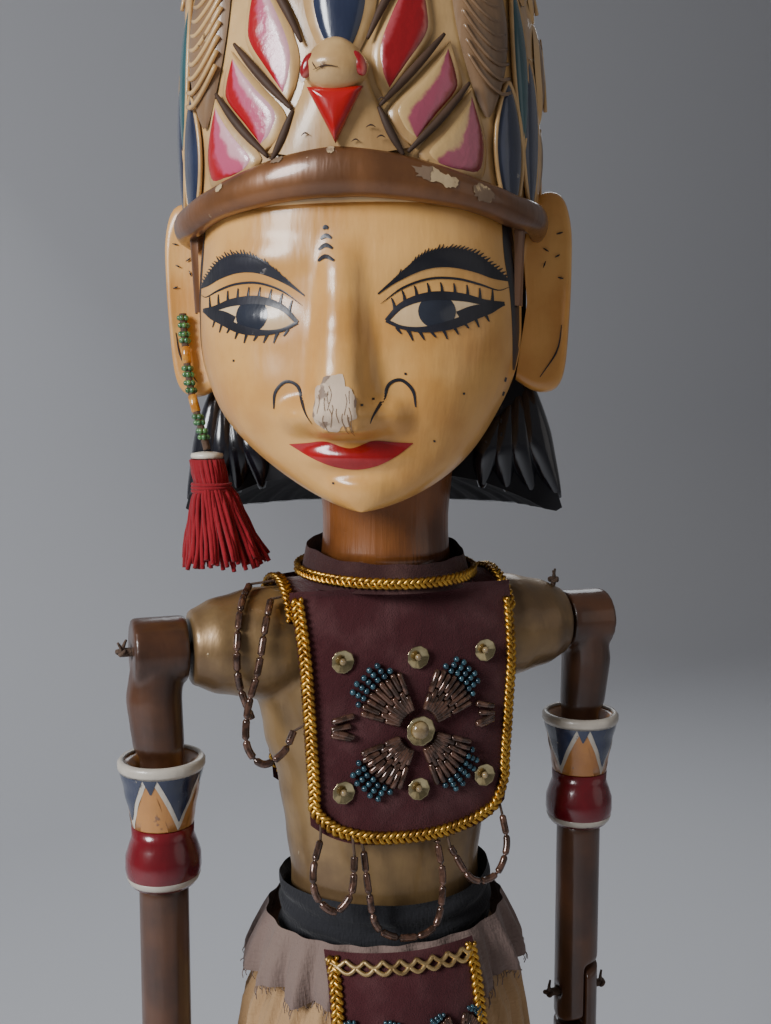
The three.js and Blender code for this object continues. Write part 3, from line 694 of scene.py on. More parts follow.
EYE_TOP = [(10.2, 524.6), (14, 528.2), (20, 530.2), (27, 530.2), (32, 529.4), (37, 529.4)]
EYE_LOW = [(10.2, 524.6), (14, 523.0), (19, 522.6), (25, 523.8), (31, 526.6), (37, 529.4)]
BROW_TOP = [(8.4, 530.8), (13, 534.8), (19, 539.4), (24.5, 541.0), (30, 540.4), (34.5, 537.8), (38.4, 535.2)]
BROW_LOW = [(8.4, 530.4), (13, 533.4), (19, 536.0), (24.5, 536.7), (30, 536.0), (34.5, 534.9), (38.4, 534.9)]
CREASE = [(9.0, 528.4), (14, 532.0), (20, 534.1), (26, 534.3), (31, 533.4), (35.5, 532.4), (38.2, 533.6)]
NOSTRIL = [(16.6, 505.0), (16.0, 508.8), (13.4, 511.2), (10.6, 510.2), (9.3, 506.6), (6.6, 501.4)]


def mirrored(points, side):
    return [(side * x, z) for x, z in points]


def drawn_in(edge):
    """An eye's edge with its corners drawn in, so that the white ends inside the outline."""
    return [(x + (0.9 if x < 20 else -2.6 if x > 30 else 0), z) for x, z in edge]


def make_eyes():
    whites, irises, ink = Build(), Build(), Build()
    for side in (-1, 1):
        low, top = mirrored(drawn_in(EYE_LOW), side), mirrored(drawn_in(EYE_TOP), side)
        patch(whites, low, top, 26, 6, 0.12)
        centre_x, centre_z, radius = side * 21.6, 526.7, 4.2

        def iris_point(u, v):
            a = tau * u
            z = centre_z + 0.93 * radius * v * sin(a)
            return face_point(centre_x + radius * v * cos(a), min(530.0, max(522.9, z)), 0.2)

        irises.grid(28, 4, iris_point, close_u=True)
        stroke(
            ink, mirrored(EYE_TOP, side), lambda t: 0.9 + 1.5 * sin(pi * min(1, t * 1.1)) * (0.5 + 0.5 * t),
            0.24
        )
        stroke(
            ink, mirrored(EYE_LOW, side),
            lambda t: 0.8 + 1.3 * smooth_step(0.1, 0.6, t) * (1 - smooth_step(0.85, 1, t)), 0.24
        )
        corner = [(26.5, 525.6), (30, 527.6), (35.5, 529.3)]
        stroke(ink, mirrored(corner, side), lambda t: 2.6 - 2.2 * t, 0.22)
        top, low = drawn(EYE_TOP, 20), drawn(EYE_LOW, 22)
        for k in range(2, 20, 2):
            p, bend = top[k], (k - 7) * 0.05
            lash = [(p.x, p.z + 0.4), (p.x - 0.15 + bend * 0.4, p.z + 1.7), (p.x - 0.5 + bend, p.z + 3.0)]
            stroke(ink, mirrored(lash, side), lambda t: 0.8 - 0.5 * t, 0.2, 5)
        for k in range(2, 20, 2):
            p = low[k]
            lash = [(p.x, p.z - 0.3), (p.x + 0.5, p.z - 1.2), (p.x + 1.1, p.z - 2.3 - 0.5 * sin(2.1 * k))]
            stroke(ink, mirrored(lash, side), lambda t: 0.85 - 0.55 * t, 0.2, 4)
        patch(ink, mirrored(BROW_LOW, side), mirrored(BROW_TOP, side), 34, 4, 0.16)
        hairs = drawn(BROW_TOP, 40)
        for k in range(6, 40):
            p = hairs[k]
            lean = 0.7 if k < 22 else 1.1
            tip = (p.x + lean, p.z + random.uniform(0.5, 1.3) * (1 if k < 30 else 0.5))
            stroke(
                ink, mirrored([(p.x - 0.3, p.z - 0.6), (p.x + 0.3, p.z), tip], side),
                lambda t: 0.75 - 0.6 * t, 0.17, 3
            )
        stroke(ink, mirrored(CREASE, side), tapered(0.5), 0.16)
        stroke(ink, mirrored(NOSTRIL, side), tapered(0.75, 0.4), 0.16)
        outer = [(face_outline(z)[0] - 0.15, z) for z in (549, 541, 532, 523, 514)]
        inner_edge = [(36.4, 549), (36.9, 541), (38.3, 532), (38.9, 523), (39.0, 514)]
        patch(ink, mirrored(inner_edge, side), mirrored(outer, side), 40, 4, 0.14)
    for x, z, width in ((-3.2, 545.6, 1.2), (-3.1, 543.7, 2.6), (-3.2, 541.5, 3.4), (-3.3, 538.9, 4.6)):
        arc = [(x - width / 2, z - 0.25 * width), (x, z + 0.1), (x + width / 2, z - 0.22 * width)]
        stroke(ink, arc, lambda t: 0.5 + 0.5 * sin(pi * t), 0.16, 8)
    for k in range(5):
        stroke(ink, [(37.4 - 0.5 * k, 512 - 3.4 * k), (37.1 - 0.5 * k, 511 - 3.4 * k)], 0.5, 0.16, 3)
    for x, z in (
        (27.5, 508.0), (14.4, 512.6), (19.5, 497.0), (-27, 516.5), (5.4, 505.6), (7.4, 507), (31, 496),
        (-6, 487.5)
    ):
        stroke(ink, [(x - 0.25, z), (x + 0.25, z)], 0.5, 0.16, 3)
    for build, name, material in (
        (whites, "eye_whites", "eye_white"), (irises, "irises", "iris"), (ink, "painted_lines", "ink")
    ):
        build.on_head(name, material, "face_lacquer")


def make_mouth():
    lips = Build()
    top = [(-14.6, 496.7), (-10, 497.0), (-5.5, 497.3), (0, 495.7), (5.5, 497.3), (10, 497.0), (14.6, 496.7)]
    low = [
        (-14.6, 496.6), (-10.5, 493.9), (-5.5, 491.6), (0, 490.7), (5.5, 491.6), (10.5, 493.9), (14.6, 496.6)
    ]
    patch(lips, low, top, 44, 10, 0.16)
    lips.on_head("painted_lips", "lips", "face_lacquer")
    worn, scratches = Build(), Build()

    def worn_point(u, v):
        a = tau * u
        ragged = 1 + 0.3 * wander(2.6 * cos(a), 2.6 * sin(a), 3)
        rise = 7.6 if sin(a) > 0 else 4.6
        return face_point(-0.9 + 5.2 * v * ragged * cos(a), 504.4 + rise * v * ragged * sin(a), 0.15)

    worn.grid(48, 10, worn_point, close_u=True)
    worn.on_head("worn_nose_tip", "bare", "face_lacquer")
    for _ in range(15):
        x, z = random.uniform(-4.6, 3.2), random.uniform(501.5, 508)
        tilt, reach = random.uniform(-0.35, 0.35), random.uniform(1.2, 3.4)
        stroke(scratches, [(x, z - reach), (x + tilt * reach, z), (x + tilt, z + reach * 0.6)], 0.16, 0.24, 6)
    scratches.on_head("nose_scratches", "crown_brown", "face_lacquer")


# ---------- ears, hair and neck ----------
EAR_OUTLINE = [
    (40, 512), (44, 509.4), (48, 508.6), (51.4, 510.4), (53.2, 516), (54.2, 528), (54.7, 540), (54.6, 551),
    (52.8, 558.4), (49.6, 560.8), (46.0, 559.6), (43.2, 553), (42, 546),
]


def make_ears():
    for name, side in (("ear_left", 1), ("ear_right", -1)):
        ear = Build()
        edge = drawn(mirrored(EAR_OUTLINE, side), 56)
        centre = Vector((side * 43, 0, 532))
        rounding = [
            (0.0, 2.6), (0.6, 2.5), (0.85, 2.2), (0.95, 1.9), (0.985, 3.2), (1.0, 5.0), (0.985, 7.0),
            (0.9, 8.0), (0.3, 8.2)
        ]

        def point(u, v):
            size, depth = rounding[round(v * (len(rounding) - 1))]
            p = centre.lerp(edge[round(u * 56)], size)
            hollow = 0.9 * oval(abs(p.x), p.z, 47.5, 534, 5.5, 19) if depth < 3 else 0
            return (p.x, depth + hollow - 0.4, p.z)

        ear.grid(56, len(rounding) - 1, point)
        ear.on_head(name + "_carved", "face", "face_lacquer", name)
    ink = Build()

    def dash(x, z, dx, dz, bend=0.0):
        path = [(x, 1.75, z), (x + dx / 2 + bend, 1.75, z + dz / 2), (x + dx, 1.75, z + dz)]
        ink.tube(curve_points(path, 8), spindle(0.24, 0.6), 6)

    for side in (1, -1):
        for x, z, dx, dz in (
            (46.5, 552, 1.2, 1.6), (50.6, 549.5, 1.6, 0.4), (47.2, 546, 1.4, -0.9), (50.2, 543.6, 1.3, 0.6),
            (47.2, 541, 0.6, 1.6), (51, 538.4, 1.4, -0.4)
        ):
            dash(side * x, z, side * dx, dz)
        dash(side * 46.4, 512.6, side * 5.6, 13.5, side * 1.6)
    ink.on_head("ear_lines", "ink", "face_lacquer")


HAIR_FRONT_Y, HAIR_TOP, HAIR_FALL = 8.4, 546, 68.6
HAIR_OUTER = [(546, 44.4), (532, 44.6), (516, 43.4), (502, 44.6), (490, 48.2), (481, 53.2), (477.4, 54.2)]


def make_hair():
    hair = Build()
    profile = [(table(HAIR_OUTER, z), z) for z in [HAIR_TOP - HAIR_FALL * (i / 22) for i in range(23)]]
    profile += [
        (52.6, 476.4), (49.6, 477.0), (45, 479.6), (40, 481.8), (33, 484.6), (26, 486), (21, 487), (21, 497)
    ]
    rows = len(profile) - 1

    def point(u, v):
        radius, z = profile[round(v * rows)]
        start = asin(min(1, HAIR_FRONT_Y / radius))
        a = start + (pi - 2 * start) * u
        edge = min(1, 8 * u, 8 * (1 - u))
        lock = 0.75 * cos(34 * a + 0.05 * (HAIR_TOP - z)) + 0.35 * cos(75 * a - 0.04 * z)
        flick = 1.0 * smooth_step(486, 478, z) * cos(9 * a)
        radius += edge * (lock * smooth_step(18, 30, radius) + flick) - 0.9
        return (radius * cos(a), max(HAIR_FRONT_Y, radius * sin(a)), z)

    columns, outer = 150, 24  # rows up to outer are the painted hair, the rest its underside in a darker, matte copy of the black paint: painted shade
    hair.grid(columns, outer, lambda u, v: point(u, v * outer / rows))
    hair.on_head("carved_hair", "hair", "black_hair_paint", "hair")
    under = Build()
    under.grid(columns, rows - outer, lambda u, v: point(u, (outer + v * (rows - outer)) / rows))
    front = [point(0, j / rows) for j in range(rows + 1)]
    for mirror in (1, -1):
        start = len(under.points)
        under.points += [Vector((mirror * x, y, z)) for x, y, z in front]
        under.uvs += [(0, 0)] * len(front)
        under.faces.append(list(range(start, start + len(front))))
    under.on_head("hair_underside", "hair_under", "black_hair_paint")
    locks = Build()
    for side in (-1, 1):
        for k in range(4):
            top = Vector((side * (42.6 - 1.6 * k), HAIR_FRONT_Y + 2.2, 514 - 3 * k))
            low = Vector((side * (51.8 - 7 * k), HAIR_FRONT_Y + 1.4, 479.8 + 1.0 * k))
            middle = top.lerp(low, 0.5) + Vector((-side * (1.2 + k * 0.3), -0.8, -2))
            locks.tube(
                curve_points([top, middle, low], 20), lambda t: 4.3 * (1 - 0.8 * abs(2 * t - 1) ** 1.6), 16
            )
    locks.on_head("side_locks", "hair", "black_hair_paint")


def make_neck():
    neck = Build()
    profile = [
        (0, 464.6), (17.6, 464.6), (17.2, 468), (16.9, 472), (16.9, 477), (17.4, 483), (18, 489), (18, 494),
        (0, 494)
    ]
    neck.lathe(profile, 72)
    neck.make("turned_neck", "neck", "head_and_rod", "brown_gold_paint", "neck")


# ---------- crown ----------
CROWN_RADIUS = 46.0  # what arc lengths round the crown are measured at
CROWN_FOOT, CROWN_TALL = 551, 104


def dome_radius(z):
    """The bare crown's radius at a height."""
    t = max(0, (z - CROWN_FOOT) / CROWN_TALL)
    return 45.2 * max(0, 1 - t ** 3.2) ** 0.62 + 3 * t


def crown_point(s, z, lift=0.0):
    """A point on the crown, s millimetres round from its front."""
    a = s / CROWN_RADIUS
    radius = dome_radius(z) + lift
    return Vector((radius * sin(a), -radius * cos(a), z))


def leaf(low, high, width, bulge, lift, height, steps=26, across=10):
    """A carved leaf on the crown from one tip to the other, fuller on one side by bulge."""
    build = Build()
    low, high = Vector(low), Vector(high)
    along = high - low
    side = Vector((along.y, -along.x)).normalized()

    def point(u, v):
        w = 2 * u - 1
        shape = sin(pi * (0.01 + 0.98 * v)) ** 0.75
        q = low + along * v + side * (width * shape * w + bulge * sin(pi * v))
        crest = height * (1 - w ** 4) * shape ** 0.5
        return crown_point(q.x, q.y, lift + crest)

    build.grid(across, steps, point)
    return build


# Each leaf's inner and outer edge, from its lower tip to its upper one, as (s, z) on the puppet's left.
LEAVES = [
    (
        [(11.4, 573.2), (9.2, 577.5), (8.8, 584), (13, 594), (19.6, 604)],
        [(11.4, 573.2), (15.6, 578.4), (21.4, 586.4), (22, 592), (19.6, 604)],
    ),
    (
        [(17.6, 563.2), (14, 565.4), (12.2, 570.4), (18.4, 577.4), (26.2, 585.6)],
        [(17.6, 563.2), (22, 567.8), (28.6, 575.2), (29, 579), (26.2, 585.6)],
    ),
    (
        [(22.4, 558.6), (19.6, 560.4), (19.4, 562.4), (25, 568.4), (32, 576)],
        [(22.4, 558.6), (29, 557.2), (35.4, 557.6), (36.4, 565.4), (32, 576)],
    ),
]
LEAF_GROOVES = [
    [(7.2, 585), (10.8, 592.4), (17.4, 603.6)], [(9.6, 570.8), (16.6, 578.2), (24.6, 587.2)],
    [(15.8, 561.2), (23.2, 568.6), (30.8, 577.4)], [(14.8, 560.4), (12, 565), (9.4, 570.6)],
]


def carved_leaf(edges, side, grow, lift, height):
    """A low cushion on the crown between a leaf's two edges, scaled about its middle."""
    curves = [curve_points([(side * a, z, 0) for a, z in edge], 26) for edge in edges]
    middle = (curves[0][13] + curves[1][13]) / 2
    build = Build()

    def point(u, v):
        k = round(v * 26)
        q = middle + (curves[0][k].lerp(curves[1][k], u) - middle) * grow
        crest = height * (1 - (2 * u - 1) ** 6) * sin(pi * (0.02 + 0.96 * v)) ** 0.3
        return crown_point(q.x, q.y, lift + crest)

    build.grid(12, 26, point)
    return build


def make_crown_leaves():
    grooves = Build()
    for word, side in SIDES:
        for k, edges in enumerate(LEAVES):
            border = carved_leaf(edges, side, 1.06, 0.1, 1.1)
            border.on_head(f"leaf_border_{word}_{k}", "crown", "crown_paint")
            field = carved_leaf(edges, side, 0.9, 0.35, 1.15)
            # the leaf_left fields carry a painted highlight in their pale inner band
            name = "leaf_left" if side < 0 else ("leaf_red", "leaf_pink", "leaf_pink")[k]
            field.on_head(f"leaf_{word}_{k}", name, "crown_paint", uv=True)
        for line in LEAF_GROOVES:
            middle = curve_points([(side * a, z, 0) for a, z in line], 24)
            path = [crown_point(q.x, q.y, 1.35) for q in middle]
            grooves.tube(path, lambda t: 1.0 * (1 - 0.6 * abs(2 * t - 1) ** 2), 8)
    grooves.on_head("crown_grooves", "groove", "crown_paint")


def make_crown_wings():
    fields, navy, outlines, teal = Build(), Build(), Build(), Build()
    for side, word, colour, thickness in ((-1, "right", "crown", 0.6), (1, "left", "crown_brown", 0.42)):
        ribs = Build()
        feather = leaf((side * 37, 571), (side * 31.5, 618), 8.6, side * 2.2, 0.3, 2.2, 40, 14)
        fields.add(feather)
        for k in range(12):
            z = 577 + 3.2 * k
            path = []
            for t in (-1, -0.5, 0, 0.5, 1):
                s = side * (37.5 - 0.11 * (z - 571) + 6.6 * t)
                path.append(crown_point(s, z + 3.5 * t * t - 3.2 * t, 2.5 - 0.7 * t * t))
            ribs.tube(curve_points(path, 12), thickness, 6)
        ribs.on_head(f"wing_ribs_{word}", colour, "crown_paint")
        for low, high, width, target in (
            ((46, 549), (44, 580), 5.6, navy), ((57, 552), (55, 588), 5.4, navy),
            ((51, 566), (49, 604), 3.4, teal),
        ):
            petal = leaf((side * low[0], low[1]), (side * high[0], high[1]), width, 0, 0.4, 1.4, 26, 8)
            target.add(petal)
            rim = petal.points[::9] + petal.points[8::9][::-1]
            outlines.tube([p + Vector((p.x, p.y, 0)).normalized() * 0.4 for p in rim], 0.55, 6, closed=True)
    fields.on_head("wing_feathers", "crown_brown", "crown_paint")
    navy.on_head("navy_petals", "navy", "crown_paint")
    teal.on_head("teal_petals", "teal", "crown_paint")
    outlines.on_head("petal_outlines", "crown", "crown_paint")


def make_crown_top():
    centre = leaf((1.2, 580), (1.2, 613), 6.4, 0, 1.0, 2.0)
    border = leaf((1.2, 578), (1.2, 617), 8.6, 0, 0.3, 1.6)
    border.on_head("top_petal_border", "crown", "crown_paint")
    centre.on_head("top_petal", "navy", "crown_paint")
    tiers, fields, lines = Build(), Build(), Build()
    for z, count, tall, width, whole in (
        (557, 16, 25, 8.2, False), (577, 16, 25, 8.2, False), (601, 18, 23, 7.2, True),
        (621, 14, 22, 6.6, True),
    ):
        for k in range(count):
            turn = tau * (k + 0.5 * (z in (557, 601))) / count
            if not whole and cos(turn) > 0.15:
                continue
            s = CROWN_RADIUS * turn
            scale = CROWN_RADIUS / max(24, dome_radius(z + tall / 2))
            for build, shrink, lift in ((tiers, 0, 0.2), (fields, 2.4, 0.6)):
                low, high, half = (s, z + shrink), (s, z + tall - shrink), (width - shrink * 0.7) * scale
                build.add(leaf(low, high, half, 0, lift, 1.5, 18, 8))
            rib = [crown_point(s, z + 3 + (tall - 7) * t / 8, 2.0) for t in range(9)]
            lines.tube(rib, lambda t: 0.5 * (1 - 0.6 * t), 6)
    tiers.on_head("crown_tiers", "crown", "crown_paint")
    fields.on_head("crown_tier_fields", "crown_brown", "crown_paint")
    lines.on_head("crown_tier_ribs", "crown", "crown_paint")


def make_crown_dome():
    dome = Build()

    def point(u, v):
        s = tau * CROWN_RADIUS * u
        z = CROWN_FOOT + CROWN_TALL * v
        around = abs(((u + 0.5) % 1) - 0.5) * 2
        flutes = 0.7 * abs(sin(18 * pi * u)) * smooth_step(0.42, 0.5, around) * (1 - smooth_step(0.8, 1, v))
        return crown_point(s, z, flutes - 0.2)

    dome.grid(180, 90, point, close_u=True, caps=True)
    dome.on_head("carved_crown", "crown", "crown_paint", "crown")
    knob = Build()
    profile = [
        (0, 655.3), (5, 655.3), (6, 656.4), (5, 657.6), (4.3, 658.6), (5.6, 660), (7.2, 662), (7.4, 664),
        (6.6, 666), (4.8, 668), (3, 669.4), (1.8, 671), (0, 672)
    ]
    knob.lathe(profile, 36)
    knob.on_head("turned_finial", "band", "brown_gold_paint", "crown_finial")


def band_middle(a):
    """Height of the band's middle and half its height, a radians round from the front."""
    turn = min(1, abs(a))
    return 557.3 - 7 * (sqrt(turn * turn + 0.02) - 0.14), 5.9 - 2.2 * min(1, turn / 0.7)


def band_point(a, b, grow=0.0):
    z, half = band_middle(a)
    front = 1.0 - 0.6 * smooth_step(1.2, 2.0, abs(a))
    thickness = 3.4 * front + grow
    bevel = abs(cos(b)) ** 0.8 * copysign(1, cos(b))
    radius = 45.6 + thickness * bevel
    return Vector((radius * sin(a), -radius * cos(a), z + (half + grow) * sin(b)))


def make_crown_band():
    band = Build()
    band.grid(160, 20, lambda u, v: band_point(tau * (u - 0.5), tau * v), close_u=True, close_v=True)
    band.on_head("rolled_band", "band", "brown_gold_paint", "crown_band")
    chips = Build()
    for a, b, long, tall in (
        (0.44, 0.25, 0.11, 0.5), (0.53, 0.1, 0.06, 0.45), (0.72, 0.0, 0.085, 0.7), (-0.62, 0.5, 0.03, 0.35),
        (-0.28, 0.9, 0.04, 0.3), (-0.02, 0.75, 0.025, 0.25)
    ):

        def chip_point(u, v):
            t = tau * u
            ragged = 0.75 + 0.3 * wander(5 * cos(t), 5 * sin(t), 10 * a)
            return band_point(a + long * v * ragged * cos(t), b + tall * v * ragged * sin(t), 0.16)

        chips.grid(30, 5, chip_point, close_u=True)
    chips.on_head("band_chips", "chip", "brown_gold_paint")
    strips = Build()
    for side in (-1, 1):

        def strip_point(u, v):
            a = side * (1.13 + 0.11 * u)
            z = 551.5 - 22 * v
            radius = 43.6 + 1.8 * sin(pi * u) * (1 - 0.5 * v)
            return (radius * sin(a), -radius * cos(a), z)

        strips.grid(8, 16, strip_point)
    strips.on_head("temple_strips", "band", "brown_gold_paint")


BIRD_MARKS = [
    [(-4, -5.2, -2.2), (-1.5, -5.9, -1.6), (1.4, -5.9, -2)],
    [(-4.4, -4.6, 0.2), (-4, -4.9, -1), (-3.4, -5.4, -2)]
]
BREAST_MARKS = [
    ((9.2, 571.6), 1.6), ((6.6, 565.8), 2), ((8.8, 563.6), 1.8), ((3.6, 562.8), 1.6), ((-7, 564.6), 1.6)
]


def make_bird():
    bird = Build()
    centre = crown_point(0.5, 578.8, 3.2)

    def head_point(u, v):
        a, b = tau * u, pi * v
        narrow = 1 - 0.3 * max(0, cos(b)) ** 0.8
        out = sin(b) ** 0.9
        return centre + Vector((7.3 * narrow * out * cos(a), 6 * narrow * out * sin(a), 5.9 * cos(b)))

    bird.grid(36, 24, head_point, close_u=True)

    def breast_point(u, v):
        w = 2 * u - 1
        z = 578 - 18 * v
        half = 7 + 9.6 * v ** 1.6
        return crown_point(
            0.2 + w * half, z + 2.4 * w * w * v, 0.4 + 3.4 * (1 - w * w) ** 0.6 * (1 - 0.5 * v)
        )

    bird.grid(28, 24, breast_point)
    bird.on_head("carved_bird", "crown", "crown_paint", "crown_bird_head")
    beak = Build()
    corners = [(-5.4, 574.4), (6.2, 574.2), (0.3, 562.4)]

    def beak_point(u, v):
        k = int(3 * u) % 3
        t = 3 * u - int(3 * u)
        p, q = Vector(corners[k]), Vector(corners[(k + 1) % 3])
        middle = Vector((0.35, 570.0))
        edge = p.lerp(q, t)
        spot = middle.lerp(edge, sin(v * pi / 2) ** 0.8)
        return crown_point(spot.x, spot.y, 3.2 + 3.2 * cos(v * pi / 2) ** 0.6)

    beak.grid(48, 10, beak_point, close_u=True)
    beak.on_head("bird_beak", "red", "crown_paint")
    eyes = Build()
    for side in (-1, 1):
        eyes.ball(
            centre + Vector((side * 5.5, -2.9, -0.6)), (1.5, 1.3, 2.8), 10, 16,
            Matrix.Rotation(-side * 0.4, 3, "Y")
        )
    eyes.on_head("bird_eyes", "leaf_red", "crown_paint", uv=True)
    marks = Build()
    for line in BIRD_MARKS:
        marks.tube(curve_points([centre + Vector(p) for p in line], 8), spindle(0.17, 0.7), 6)
    for (s, z), length in BREAST_MARKS:
        path = [crown_point(s + length * t, z + 0.5 * sin(3 * t), 3.0) for t in (0, 0.3, 0.6, 1)]
        marks.tube(curve_points(path, 8), spindle(0.2, 0.7), 6)
    marks.on_head("bird_scratches", "groove", "crown_paint")


# ---------- torso and its cloth ----------
TORSO_ROWS = [
    (456, 23, 16.5), (450, 29, 17.5), (442, 34, 19), (432, 36, 20.5), (420, 34, 21),
    (406, 30, 20.5), (392, 28, 20), (380, 26.5, 20), (370, 27, 21), (352.2, 25, 21),
]
YOKE_REACH = 53.5
YOKE_ROWS = [(53.5, 9.6), (46, 12.6), (36, 14.6), (0, 14.6), (-36, 14.6), (-46, 12.6), (-53.5, 9.6)]
BIB_TOP, BIB_BOTTOM = 457.5, 394.5
SHOULDER_Z = 444


def rows_at(rows, z):
    """Half width and half depth at a height, with smooth steps between rows."""
    return table([(row[0], row[1]) for row in rows], z), table([(row[0], row[2]) for row in rows], z)


def remeshed(piece, voxel, rounds):
    """The piece's overlapping parts melted into one smooth skin."""
    remesh = piece.modifiers.new("melt", "REMESH")
    remesh.mode = "VOXEL"
    remesh.voxel_size = voxel * MM
    remesh.use_smooth_shade = True
    soften = piece.modifiers.new("soften", "SMOOTH")
    soften.iterations = rounds
    return piece


def make_torso():
    torso = Build()
    top, tall = 456, 103.8

    def point(u, v):
        z = top - tall * round(v * 40) / 40
        half_x, half_y = rows_at(TORSO_ROWS, z)
        a = tau * u
        return (half_x * cos(a), half_y * sin(a), z)

    torso.grid(72, 40, point, close_u=True, caps=True)

    def yoke_point(u, v):
        x = -YOKE_REACH + 2 * YOKE_REACH * v
        radius = table(YOKE_ROWS, x)
        a = tau * u
        return (x, radius * cos(a), SHOULDER_Z + radius * sin(a))

    torso.grid(48, 54, yoke_point, close_u=True, caps=True)
    remeshed(torso.make("carved_torso", "torso", "torso", "gold_bronze_paint", "torso"), 0.9, 10)


def bib_half_width(v):
    return 30.5 - 3.5 * v


def bib_point(s, v, lift=0.0):
    """A point on the front bib: s from -1 to 1 across it, v from 0 at its top to 1."""
    ripple = 0.35 * wander(3 * s, 5 * v, 2)
    depth = 23.6 - 5.6 * max(0, 1 - 3.2 * v) ** 1.5 - 4.4 * s * s
    z = BIB_TOP - (BIB_TOP - BIB_BOTTOM) * v + 6 * s ** 4 * v ** 3
    return Vector((s * bib_half_width(v), -depth - lift + ripple, z))


def bib_at(x, z, lift):
    """The point on the front bib at x and z."""
    v = (BIB_TOP - z) / (BIB_TOP - BIB_BOTTOM)
    return bib_point(x / bib_half_width(v), v, lift)


def cloth(name, material, body, nu, nv, point, nodes, slot):
    """A sheet of cloth from a grid of points, drawn in place of the given nodes."""
    build = Build()
    build.grid(nu, nv, point)
    piece = build.make(name, material, body, slot, *nodes)
    return piece


def braid(build, points, outs, width, period, radius):
    """A flat plait of strands that follows points; outs are the directions it faces."""
    points = [Vector(p) for p in points]
    travelled = 0.0
    strands = 3
    paths = [[] for _ in range(strands)]
    for i, p in enumerate(points):
        if i:
            travelled += (p - points[i - 1]).length
        ahead, behind = points[min(i + 1, len(points) - 1)], points[max(i - 1, 0)]
        along = (ahead - behind).normalized()
        out = Vector(outs[i]).normalized()
        across = along.cross(out).normalized()
        for k in range(strands):
            a = tau * (travelled / period + k / strands)
            paths[k].append(p + across * width / 2 * sin(a) + out * radius * 0.8 * sin(2 * a))
    for path in paths:
        build.tube(path, radius, 6)


# an edging's width, the length of one turn of its plait, and its strands' radius
WIDE_BRAID, SHOULDER_BRAID, COLLAR_BRAID = (2.5, 5.2, 0.62), (2.4, 5.2, 0.55), (2.2, 5.0, 0.55)


def make_bibs():
    for word, side in (("front", 1), ("back", -1)):

        def point(u, v):
            s, w = 2 * u - 1, 1.06 * v - 0.06
            if w < 0:
                p = bib_point(s, 0)
                return (p.x, side * (p.y - 30 * -w * (1 - s * s)), p.z + 42 * -w * (1 - 0.4 * s * s))
            p = bib_point(s, w)
            return (p.x, side * p.y, p.z)

        cloth(
            f"bib_{word}_cloth", "velvet", "torso", 56, 60, point, [f"bib_{word}"], "maroon_velvet",
        )
    for word, side in SIDES:

        def strap_point(u, v):
            a = -1.12 + 2.24 * v
            radius = 16.7 + 0.3 * wander(4 * u, 5 * v, side)
            return (side * (13.5 + 17.6 * u), radius * sin(a), SHOULDER_Z + radius * cos(a))

        cloth(
            f"strap_{word}_cloth", "velvet", "torso", 20, 34, strap_point,
            [f"shoulder_strap_{word}"], "maroon_velvet",
        )
    edging = Build()
    edge = [(-0.95, 0.9 * i / 40) for i in range(41)]
    edge += [(-0.95 + 1.9 * i / 60, 0.94 + 0.035 * sin(pi * i / 60)) for i in range(2, 59)]
    edge += [(0.95, 0.9 - 0.9 * i / 40) for i in range(41)]
    path = curve_points([bib_point(s, v, 0.7) for s, v in edge[::4]], 340)
    braid(edging, path, [(p.x * 0.3, -12, 0) for p in path], *WIDE_BRAID)
    path = [Vector((p.x, -p.y, p.z)) for p in path]
    braid(edging, path, [(p.x * 0.3, 12, 0) for p in path], *WIDE_BRAID)
    edging.make("bib_braid_plait", "braid", "torso", "gold_braid", "bib_braid")
    shoulder_edging = Build()
    for side in (-1, 1):
        path = []
        for i in range(61):
            a = -1.1 + 2.2 * i / 60
            path.append((side * 30.2, 17.3 * sin(a), SHOULDER_Z + 17.3 * cos(a)))
        braid(shoulder_edging, path, [(0, p[1], p[2] - SHOULDER_Z) for p in path], *SHOULDER_BRAID)
    shoulder_edging.make("shoulder_braid", "braid", "torso", "gold_braid")


COLLAR_FOOT, COLLAR_TALL = 458.6, 9.6


def make_collar():

    def point(u, v):
        a = tau * u
        radius = 23.4 - 2.4 * v + 0.35 * sin(7 * a) * v
        ragged = 0.5 * wander(3 * cos(a), 3 * sin(a), 4 * v) * v
        z = COLLAR_FOOT + COLLAR_TALL * v + 2.6 * v * sin(a) + ragged
        return (radius * cos(a), radius * sin(a), z)

    cloth(
        "collar_cloth", "backing", "torso", 96, 10, point, ["collar"], "maroon_velvet"
    )
    plait = Build()
    path = []
    for i in range(221):
        a = tau * i / 220
        path.append((23.9 * cos(a), 23.9 * sin(a), 462.4 + 1.1 * sin(a)))
    braid(plait, path, [(p[0], p[1], 0) for p in path], *COLLAR_BRAID)
    plait.make("collar_plait", "braid", "torso", "gold_braid", "collar_braid")


def bugle(build, start, end, radius):
    """A small glass tube bead with rounded rims."""
    start, end = Vector(start), Vector(end)
    path = [start.lerp(end, t) for t in (0, 0.08, 0.5, 0.92, 1)]
    build.tube(path, lambda t: radius * (0.62 if t in (0, 1) else 1), 8)


def bead_flower(bronze, blue, at, centre, scale):
    """Petals of bugle beads that fan out from a centre and end in seed beads."""
    thick = max(0.7, scale)

    def spot(a, r):
        return at(centre[0] + r * cos(a), centre[1] + r * sin(a), 1.0)

    for petal in range(4):
        middle = pi / 4 + petal * 2 * pi / 4
        for j in range(-4, 5):
            a = middle + j * 0.112
            reach = (21.6 - 0.32 * j * j) * scale
            place = 5.2 * scale
            for size in (6.2 * scale, 5.2 * scale) if j % 2 else (4.6 * scale, 6.4 * scale):
                bugle(bronze, spot(a, place), spot(a, place + size - 0.3), 0.78 * thick)
                place += size
            while place + 0.8 < reach:
                blue.ball(spot(a, place + 0.7), 0.82 * thick, 5, 8)
                place += 1.6 * scale


